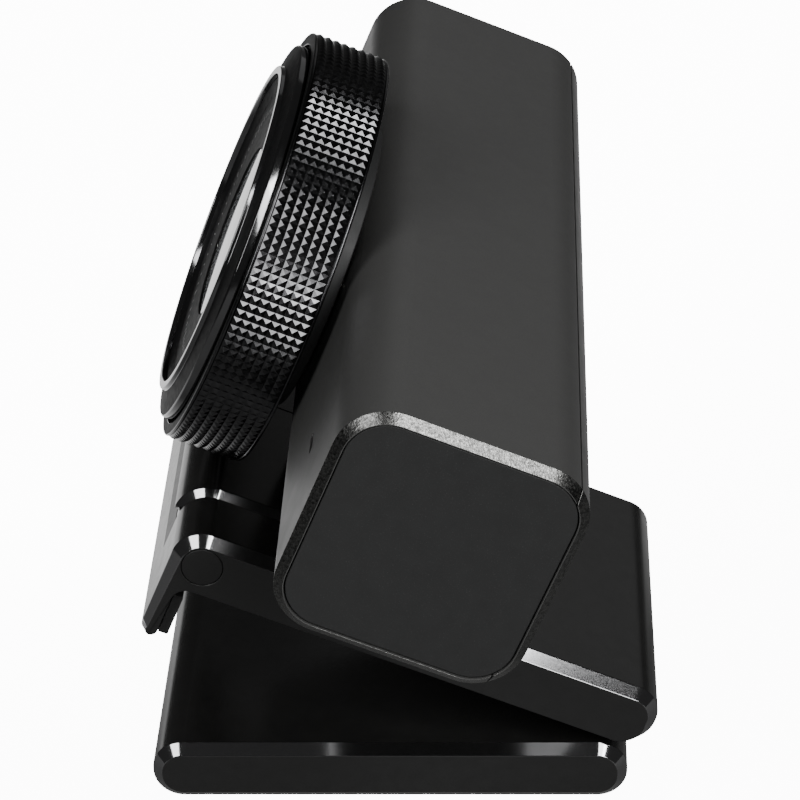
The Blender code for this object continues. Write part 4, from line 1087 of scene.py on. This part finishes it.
def bar_shells(sizes):
    """The main shell and the rear cover, cut from one bar."""
    end, half = bar_measures()
    pocket = end - span("end_cap_right", HEAD)[0].x + GAP
    cover_front = span("rear_cover", HEAD)[0].y
    tube = end_path(sizes, pocket, sizes.wall, 1)
    tube += list(reversed(end_path(sizes, pocket, sizes.wall, -1)))
    shell = lofted_bar(tube, sizes.edge_radius, half, True)
    rear = box_mesh((-end * 2, cover_front - sizes.seam, -half * 2), (end * 2, half * 2, half * 2),
                    HEAD)
    spigot_back = span("lens_housing", LENS)[0].z
    spigot = spigot_radius() + GAP / 2
    nut_flange = 1.5 * MM
    nut = reach("camera_nut", HEAD) - nut_flange + GAP / 2
    tools = [rear, rod(spigot, spigot_back - GAP, half * 2, LENS),
             rod(nut, -half - OVERCUT, -half + sizes.wall + OVERCUT, HEAD)]
    mic_x = centre_of("microphone_right", HEAD)[0]
    for side in (-1, 1):
        outline = slot_outline(sizes.slit_width / 2, sizes.slit_height / 2)
        outline = [(side * mic_x + x, z) for x, z in outline]
        tools.append(through(outline, (-half - OVERCUT, -half + sizes.wall + GAP / 2), HEAD))
    shell = softened(joined(shell, tools), BAR_SOFT_EDGE)
    blast_chamfers(shell, sizes)
    piece("bar_shell", shell, "head", ("satin_bar", "blasted_chamfer"),
          ("body_shell",))

    path = [(x, inset) for x, inset in end_path(sizes, pocket, sizes.wall, 1) if inset < sizes.wall]
    solid = list(reversed(path)) + [(-x, inset) for x, inset in path]
    cover = lofted_bar(solid, sizes.edge_radius, half)
    ahead = box_mesh((-end * 2, -half * 2, -half * 2), (end * 2, cover_front, half * 2), HEAD)
    usb = span("usb_socket", HEAD)[1]
    clear = 2 * GAP
    outline = slot_outline(usb.x + clear, usb.z + clear)
    usb_hole = through(outline, (0, half * 2), HEAD)
    cover = softened(joined(cover, (ahead, usb_hole)), BAR_SOFT_EDGE)
    blast_chamfers(cover, sizes)
    piece("rear_cover_shell", cover, "head", ("satin_bar", "blasted_chamfer"),
          ("rear_cover",))


def spigot_radius():
    """The radius of the lens housing's spigot, from its foremost points inside the bar."""
    back = LENS.inverted()
    _, half = bar_measures()
    points = [back @ v.co for v in frame["nodes"]["lens_housing"].data.vertices]
    return max(p.xy.length for p in points if p.z < half)


def end_caps(sizes):
    """The matte caps let into the bar's ends."""
    _, half = bar_measures()
    low, high = span("end_cap_right", HEAD)
    inset = sizes.rim + sizes.seam
    soft = 0.12 * MM
    corners = [(high.x, half - HAIR, 0), (high.x, inset, soft), (low.x, inset, soft / 2),
               (low.x, half - HAIR, 0)]
    path = filleted(corners)[1:-1]
    for side, name in ((-1, "left"), (1, "right")):
        cap = lofted_bar([(side * x, i) for x, i in path], sizes.edge_radius, half)
        cap = worked(cap, ("WEIGHTED_NORMAL", {"keep_sharp": True, "weight": 100}))
        piece(f"end_cap_face_{name}", cap, "head", ("matt_cap",),
              (f"end_cap_{name}",))


def usb_port():
    """The USB-C socket: a drawn steel shell, a tongue and its contacts."""
    low, high = span("usb_socket", HEAD)
    wall = 0.35 * MM
    steps = SMALL_STEPS // 4
    floor = low.y + 1.25 * MM
    round_over = 0.1 * MM
    rings = []
    for y, inset in ((low.y, 0.0), (high.y - round_over, 0.0), (high.y, wall / 3),
                     (high.y, wall * 0.67), (high.y - round_over, wall), (floor, wall)):
        rings.append([(x, y, z) for x, z in slot_outline(high.x - inset, high.z - inset, steps)])
    shell = mesh_from(skin(rings), HEAD)
    piece("usb_shell", shell, "head", ("brushed_steel",), ("usb_socket",))
    half_wide, half_thick = 3.3 * MM, 0.35 * MM
    section = filleted([(x * half_wide, z * half_thick, round_over)
                        for x, z in ((-1, -1), (1, -1), (1, 1), (-1, 1))])
    tongue_front = high.y - 0.9 * MM
    tongue = through(section, (floor + HAIR, tongue_front), HEAD)
    piece("usb_tongue", tongue, "head", ("moulded_inside",))
    for side, name in ((-1, "lower"), (1, "upper")):
        place = HEAD @ Matrix.Translation((0, tongue_front - 1.6 * MM,
                                           side * (half_thick + HAIR)))
        contacts = contact_row(12, 0.5 * MM, (0.26 * MM, 2.6 * MM, 0.05 * MM),
                               finish("turned_brass"), place)
        piece(f"usb_contacts_{name}", contacts, "head", ("turned_brass",))


# The lens and its rings

def lens_measures(sizes):
    """Radii and forward places of the lens pieces."""
    housing_low, housing_high = span("lens_housing", LENS)
    ring_low, ring_high = span("focus_ring", LENS)
    front_low, front_high = span("front_ring", LENS)
    return {
        "neck": reach("lens_housing", LENS), "housing_front": housing_high.z,
        "housing_back": housing_low.z, "ring": reach("focus_ring", LENS) - sizes.ring_trim,
        "ring_back": ring_low.z, "ring_front": ring_high.z - sizes.ring_setback,
        "front_ring": reach("front_ring", LENS) - sizes.ring_trim,
        "front_back": front_low.z, "rim_front": front_high.z,
        "glass": reach("cover_glass", LENS), "bezel": reach("lens_bezel", LENS),
        "glass_front": front_high.z - sizes.dish_depth,
        "glass_back": front_high.z - sizes.dish_depth - sizes.glass_thickness,
    }


def lens_housing(at):
    """The fixed neck and tube that the focus ring turns on."""
    _, half = bar_measures()
    neck_back = half + GAP / 2
    neck_front = at["ring_back"] - GAP
    tube = at["neck"] - TUBE_WALL
    bore = at["glass"] - 0.9 * MM
    spigot = spigot_radius()
    soft = 0.15 * MM
    front = at["housing_front"]
    corners = [(tube, front, soft), (tube, neck_front, 0.2 * MM), (at["neck"], neck_front, soft),
               (at["neck"], neck_back, soft), (spigot, neck_back, 0),
               (spigot, at["housing_back"], soft), (bore, at["housing_back"], soft)]
    ribs, rib_depth = 9, 0.3 * MM
    step = (front - at["housing_back"] - 2 * soft) / ribs
    for i in range(ribs):
        z = at["housing_back"] + soft + i * step
        corners += [(bore, z + step * 0.35, 0), (bore + rib_depth, z + step * 0.5, 0),
                    (bore + rib_depth, z + step * 0.9, 0)]
    corners += [(bore, front, soft)]
    body = turned(corners)
    body.materials.append(finish("matt_cap"))
    body.materials.append(finish("dark_baffle"))
    back = LENS.inverted()
    for face in body.polygons:
        if (back @ face.center).xy.length < bore + rib_depth + 0.05 * MM:
            face.material_index = 1
    piece("lens_neck", body, "head", (), ("lens_housing",))


def satin_fronts(mesh, look, inner):
    """Give a ring its finish, and its forward faces outside a radius the satin one."""
    mesh.materials.append(finish(look))
    mesh.materials.append(finish("satin_dish"))
    back = LENS.inverted()
    for face in mesh.polygons:
        forward = (back.to_3x3() @ face.normal).z
        if forward > 0.85 and (back @ face.center).xy.length > inner:
            face.material_index = 1


def focus_ring(sizes, at):
    """The turning ring and its knurl."""
    foot = at["ring"] - sizes.knurl_height - 3 * HAIR
    border = at["ring"] - 0.12 * MM
    back, front = at["ring_back"], at["ring_front"]
    bore = at["neck"] - TUBE_WALL + RUNNING_GAP
    wall = at["ring"] - sizes.ring_wall
    floor = at["front_back"] - GAP
    soft, lip = 0.08 * MM, 0.12 * MM
    knurl_back, knurl_front = back + sizes.ring_border, front - sizes.ring_border
    corners = [(wall, front, soft), (border, front, 0.2 * MM), (border, knurl_front + lip, soft),
               (foot, knurl_front, 0), (foot, knurl_back, 0), (border, knurl_back - lip, soft),
               (border, back, 0.2 * MM), (bore, back, soft), (bore, floor, soft),
               (wall, floor, 0)]
    ring = turned(corners)
    satin_fronts(ring, "knurled_metal", bore)
    piece("focus_ring_body", ring, "focus", (), ("focus_ring",))
    grip = knurl(sizes.knurl_rows, sizes.knurl_around, foot + 2 * HAIR, knurl_back,
                 knurl_front - knurl_back, sizes.knurl_height + HAIR, finish("knurled_metal"))
    piece("focus_ring_knurl", grip, "focus", ("knurled_metal",))


def front_ring(sizes, at):
    """The fixed gloss ring with its slanted face and raised rim."""
    rim_in = at["bezel"] + 0.2 * MM
    rim_out = rim_in + sizes.rim_thickness
    outer = at["front_ring"]
    front, floor = at["rim_front"], at["front_back"]
    aperture = at["glass"] - 0.8 * MM
    seat = at["glass_back"] - HAIR
    rim_foot = front - 0.45 * MM
    shoulder = front - 1.05 * MM
    soft, cut, fine = 0.12 * MM, 0.15 * MM, 0.05 * MM
    corners = [(rim_in, front, soft), (rim_out, front, soft), (rim_out, rim_foot, soft),
               (outer - cut, shoulder, soft), (outer, shoulder - cut, soft), (outer, floor, fine),
               (aperture, floor, fine), (aperture, seat, fine), (rim_in, seat, 0)]
    ring = turned(corners)
    satin_fronts(ring, "gloss_black", rim_out)
    piece("front_ring_gloss", ring, "head", (), ("front_ring",))


def bezel_and_glass(sizes, at):
    """The dished bezel with its marks, and the cover glass."""
    hole = at["glass"] + 0.12 * MM
    outer = at["bezel"] + 0.1 * MM
    back, rim = at["glass_back"], at["rim_front"] - 0.5 * MM
    inner_front = at["glass_front"] + 0.05 * MM
    bend = outer - 1.2 * MM
    bend_front = inner_front + 0.12 * MM
    soft = 0.08 * MM
    corners = [(outer, rim, soft), (outer, back, 0), (hole, back, 0), (hole, inner_front, soft),
               (bend, bend_front, 0.8 * MM)]
    piece("bezel_dish", turned(corners), "head",
          ("satin_dish",), ("lens_bezel",))
    slope = math.atan2(bend_front - inner_front, bend - hole)
    rise = (sizes.mark_radius - hole) * math.tan(slope)
    marks = mark_ring(sizes.marks, sizes.mark_radius, inner_front + rise, slope,
                      (0.55 * MM, 0.13 * MM, 0.03 * MM), finish("printed_marks"))
    piece("bezel_marks", marks, "head", ("printed_marks",))

    dome = 0.10 * MM
    rim = at["glass_front"] - dome
    profile = [(0.0, at["glass_front"])]
    for i in range(1, CROWN_STEPS + 1):
        r = at["glass"] * i / CROWN_STEPS
        profile.append((r, rim + dome * (1 - (r / at["glass"]) ** 2)))
    profile += [(at["glass"], at["glass_back"]), (0.0, at["glass_back"])]
    piece("front_glass", lathe(profile, LENS, smooth=50), "head", ("optical_glass",),
          ("cover_glass",))


def lens_cell():
    """The sliding cell with stepped baffles, and its coated elements."""
    low, high = span("lens_cell", LENS)
    outer = reach("lens_cell", LENS)
    inner = outer - 0.9 * MM
    soft = 0.1 * MM
    throat = inner * 0.74
    corners = [(outer, low.z, soft), (inner, low.z, soft), (inner, high.z - 3.4 * MM, 0),
               (inner, high.z - 1.2 * MM, 0), (throat + 0.9 * MM, high.z - 1.0 * MM, soft),
               (throat + 0.9 * MM, high.z - 0.6 * MM, soft),
               (throat + 1.6 * MM, high.z - 0.35 * MM, soft), (throat + 1.6 * MM, high.z, soft),
               (outer, high.z, soft)]
    cell = turned(corners)
    piece("lens_cell_barrel", cell, "cell", ("dark_baffle",), ("lens_cell",))
    for name in ("front_lens", "rear_lens"):
        low, high = span(name, LENS)
        radius = reach(name, LENS)
        dome = 1.2 * MM if name == "front_lens" else 0.8 * MM
        steps = 14
        front = [(radius * i / steps, high.z - dome * (i / steps) ** 2) for i in range(steps + 1)]
        back = [(r, low.z + high.z - h) for r, h in reversed(front)]
        element = lathe(front + back, LENS, SMALL_STEPS * 2, 50)
        piece(f"{name}_element", element, "cell", ("coated_lens",), (name,))


# Pieces that keep the CAD's shape

KEPT = {
    "brushed_steel": ("fold_pin", "fold_washer_left", "fold_washer_right", "arm_pin", "pan_bolt",
                      "pan_washer", "camera_stud", "board_screw_1", "board_screw_2",
                      "board_screw_3", "board_screw_4", "housing_screw_1", "housing_screw_2",
                      "housing_screw_3", "housing_screw_4"),
    "turned_brass": ("camera_nut",),
    "circuit_board": ("main_board", "sensor_board"),
    "moulded_inside": ("chassis", "processor", "image_sensor", "microphone_left",
                       "microphone_right"),
    "cast_aluminium": ("heat_spreader",),
    "coated_lens": ("infrared_filter",),
}


def kept_pieces():
    """Give the CAD pieces that stay their finishes."""
    for look, names in KEPT.items():
        for name in names:
            mesh = frame["nodes"][name].data
            mesh.materials.clear()
            mesh.materials.append(finish(look))


# The stage

POOL_CENTRE = (-0.17, -0.08, 0.0)
POOL_RADII = (0.13, 0.19)
CAMERA_LENS = 162.97
CAMERA_PLACE = (0.341042, 0.015813, 0.228044)
CAMERA_YAW = math.radians(2.443)
CAMERA_PITCH = math.radians(29.046)
CAMERA_ROLL = math.radians(-1.409)


def aimed(name, power, size, place, target):
    """A softbox at a place, facing a target."""
    light = bpy.data.lights.new(name, "AREA")
    light.energy = power
    light.shape = "RECTANGLE"
    light.size, light.size_y = size
    holder = bpy.data.objects.new(name, light)
    holder.location = place
    holder.rotation_euler = (target - place).to_track_quat("-Z", "Y").to_euler()
    bpy.context.scene.collection.objects.link(holder)


def seen_white(tree, glow, rest):
    """A strength that is high for the camera alone."""
    seen = wired(tree, "ShaderNodeLightPath").outputs["Is Camera Ray"]
    return wired(tree, "ShaderNodeMath", {"operation": "MULTIPLY_ADD"}, _0=seen, _1=glow,
                 _2=rest).outputs[0]


def stage_floor(settings):
    """A pale floor that sends light up near the lens side, and is clear from below."""
    half, level = 3.0, -0.05 * MM
    mesh = bpy.data.meshes.new("floor")
    mesh.from_pydata([(x * half, y * half, level) for x, y in ((-1, -1), (1, -1), (1, 1), (-1, 1))],
                     [], [(0, 1, 2, 3)])
    floor = bpy.data.objects.new("floor", mesh)
    bpy.context.scene.collection.objects.link(floor)
    surface = Surface("pale_floor", settings.floor, 0.9)
    tree = surface.tree
    distance = wired(tree, "ShaderNodeVectorMath", {"operation": "DISTANCE"}, _0=surface.place,
                     _1=POOL_CENTRE).outputs["Value"]
    fade = wired(tree, "ShaderNodeMapRange", Value=distance, From_Min=POOL_RADII[0],
                 From_Max=POOL_RADII[1], To_Min=settings.bounce, To_Max=0.05).outputs["Result"]
    surface.set("Emission Color", (1.0, 1.0, 1.0, 1.0))
    surface.set("Emission Strength", seen_white(tree, settings.glow, fade))
    mix = wired(tree, "ShaderNodeMixShader",
                _0=wired(tree, "ShaderNodeNewGeometry").outputs["Backfacing"],
                _1=surface.shader.outputs[0],
                _2=wired(tree, "ShaderNodeBsdfTransparent").outputs[0])
    tree.links.new(mix.outputs[0], tree.nodes["Material Output"].inputs["Surface"])
    mesh.materials.append(bpy.data.materials["pale_floor"])


def stage_lights(settings):
    """A dim sky that the camera sees as white, and four softboxes."""
    world = bpy.data.worlds.new("studio")
    world.use_nodes = True
    tree = world.node_tree
    background = tree.nodes["Background"]
    background.inputs["Color"].default_value = (1.0, 1.0, 1.0, 1.0)
    tree.links.new(seen_white(tree, settings.glow, settings.sky), background.inputs["Strength"])
    bpy.context.scene.world = world
    centre, distance = Vector((0.0, 0.0, 0.04)), 0.75
    for name, power, size, direction in (
            ("lens_side_box", settings.key, (0.25, 0.56), (0.59, -0.50, 0.635)),
            ("rear_box", settings.rear, (0.25, 0.55), (0.722, 0.404, 0.56)),
            ("strip_box", settings.strip, (0.20, 0.16), (0.49, 0.47, 0.735)),
            ("far_box", settings.far, (0.5, 0.35), (-0.80, 0.25, 0.42))):
        aimed(name, power, size, centre + Vector(direction).normalized() * distance, centre)


def stage_camera():
    """The camera, looking down along the bar from its right-hand end."""
    camera = bpy.data.cameras.new("camera")
    camera.lens = CAMERA_LENS
    camera.sensor_width = 36.0
    camera.clip_start, camera.clip_end = 0.01, 20.0
    holder = bpy.data.objects.new("camera", camera)
    forward = Vector((-math.cos(CAMERA_PITCH) * math.cos(CAMERA_YAW),
                      -math.cos(CAMERA_PITCH) * math.sin(CAMERA_YAW), -math.sin(CAMERA_PITCH)))
    level = forward.cross(Vector((0, 0, 1))).normalized()
    upward = level.cross(forward)
    right = level * math.cos(CAMERA_ROLL) + upward * math.sin(CAMERA_ROLL)
    top = upward * math.cos(CAMERA_ROLL) - level * math.sin(CAMERA_ROLL)
    turn = Matrix((right, top, -forward)).transposed().to_4x4()
    holder.matrix_world = Matrix.Translation(CAMERA_PLACE) @ turn
    bpy.context.scene.collection.objects.link(holder)
    bpy.context.scene.camera = holder


# Operators, panel and registration

class BuildBase(bpy.types.Operator):
    """Make the base slab, its rubber foot and the threaded insert"""
    bl_idname = "bar_camera.base"
    bl_label = "Base"

    def execute(self, context):
        base_slab(context.scene.stand_sizes)
        foot_and_socket(context.scene.stand_sizes)
        return {"FINISHED"}


class BuildClip(bpy.types.Operator):
    """Make the clip plate with its lip, pads and pin caps"""
    bl_idname = "bar_camera.clip"
    bl_label = "Clip plate"

    def execute(self, context):
        clip_plate(context.scene.stand_sizes)
        return {"FINISHED"}


class BuildArm(bpy.types.Operator):
    """Make the swing arm and the swivel puck with its pad"""
    bl_idname = "bar_camera.arm"
    bl_label = "Swing arm and swivel"

    def execute(self, context):
        swing_arm(context.scene.stand_sizes)
        swivel_puck()
        return {"FINISHED"}


class BuildBar(bpy.types.Operator):
    """Make the bar's shell, rear cover, end caps and USB-C port"""
    bl_idname = "bar_camera.bar"
    bl_label = "Camera bar"

    def execute(self, context):
        bar_shells(context.scene.bar_sizes)
        end_caps(context.scene.bar_sizes)
        usb_port()
        return {"FINISHED"}


class BuildLens(bpy.types.Operator):
    """Make the lens housing, the knurled ring, the front ring, the glass and the cell"""
    bl_idname = "bar_camera.lens"
    bl_label = "Lens and rings"

    def execute(self, context):
        sizes = context.scene.lens_sizes
        at = lens_measures(sizes)
        lens_housing(at)
        focus_ring(sizes, at)
        front_ring(sizes, at)
        bezel_and_glass(sizes, at)
        lens_cell()
        return {"FINISHED"}


class FinishInside(bpy.types.Operator):
    """Give the pins, screws, boards and other kept pieces their finishes"""
    bl_idname = "bar_camera.inside"
    bl_label = "Inner pieces"

    def execute(self, context):
        kept_pieces()
        return {"FINISHED"}


class BuildStage(bpy.types.Operator):
    """Make the floor, the lights and the camera"""
    bl_idname = "bar_camera.stage"
    bl_label = "Stage"

    def execute(self, context):
        settings = context.scene.camera_stage
        stage_floor(settings)
        stage_lights(settings)
        stage_camera()
        return {"FINISHED"}


STEPS = (BuildBase, BuildClip, BuildArm, BuildBar, BuildLens, FinishInside, BuildStage)


class BarCameraPanel(bpy.types.Panel):
    """Lists the steps that build the camera, and its sizes and colours"""
    bl_idname = "VIEW3D_PT_bar_camera"
    bl_label = "Bar Camera"
    bl_space_type = "VIEW_3D"
    bl_region_type = "UI"
    bl_category = "Bar Camera"

    def draw(self, context):
        for step in STEPS:
            self.layout.operator(step.bl_idname)
        for name, group in GROUPS.items():
            box = self.layout.box()
            for key in group.__annotations__:
                box.prop(getattr(context.scene, name), key)


def register():
    """Register the sizes, the steps and the panel."""
    for group in GROUPS.values():
        bpy.utils.register_class(group)
    for name, group in GROUPS.items():
        setattr(bpy.types.Scene, name, bpy.props.PointerProperty(type=group))
    for step in (*STEPS, BarCameraPanel):
        bpy.utils.register_class(step)


def unregister():
    """Take everything out again."""
    for step in (BarCameraPanel, *reversed(STEPS)):
        bpy.utils.unregister_class(step)
    for name, group in GROUPS.items():
        delattr(bpy.types.Scene, name)
        bpy.utils.unregister_class(group)


def main():
    """Build the whole camera."""
    register()
    for step in STEPS:
        group, name = step.bl_idname.split(".")
        getattr(getattr(bpy.ops, group), name)()


if __name__ == "__main__":
    main()
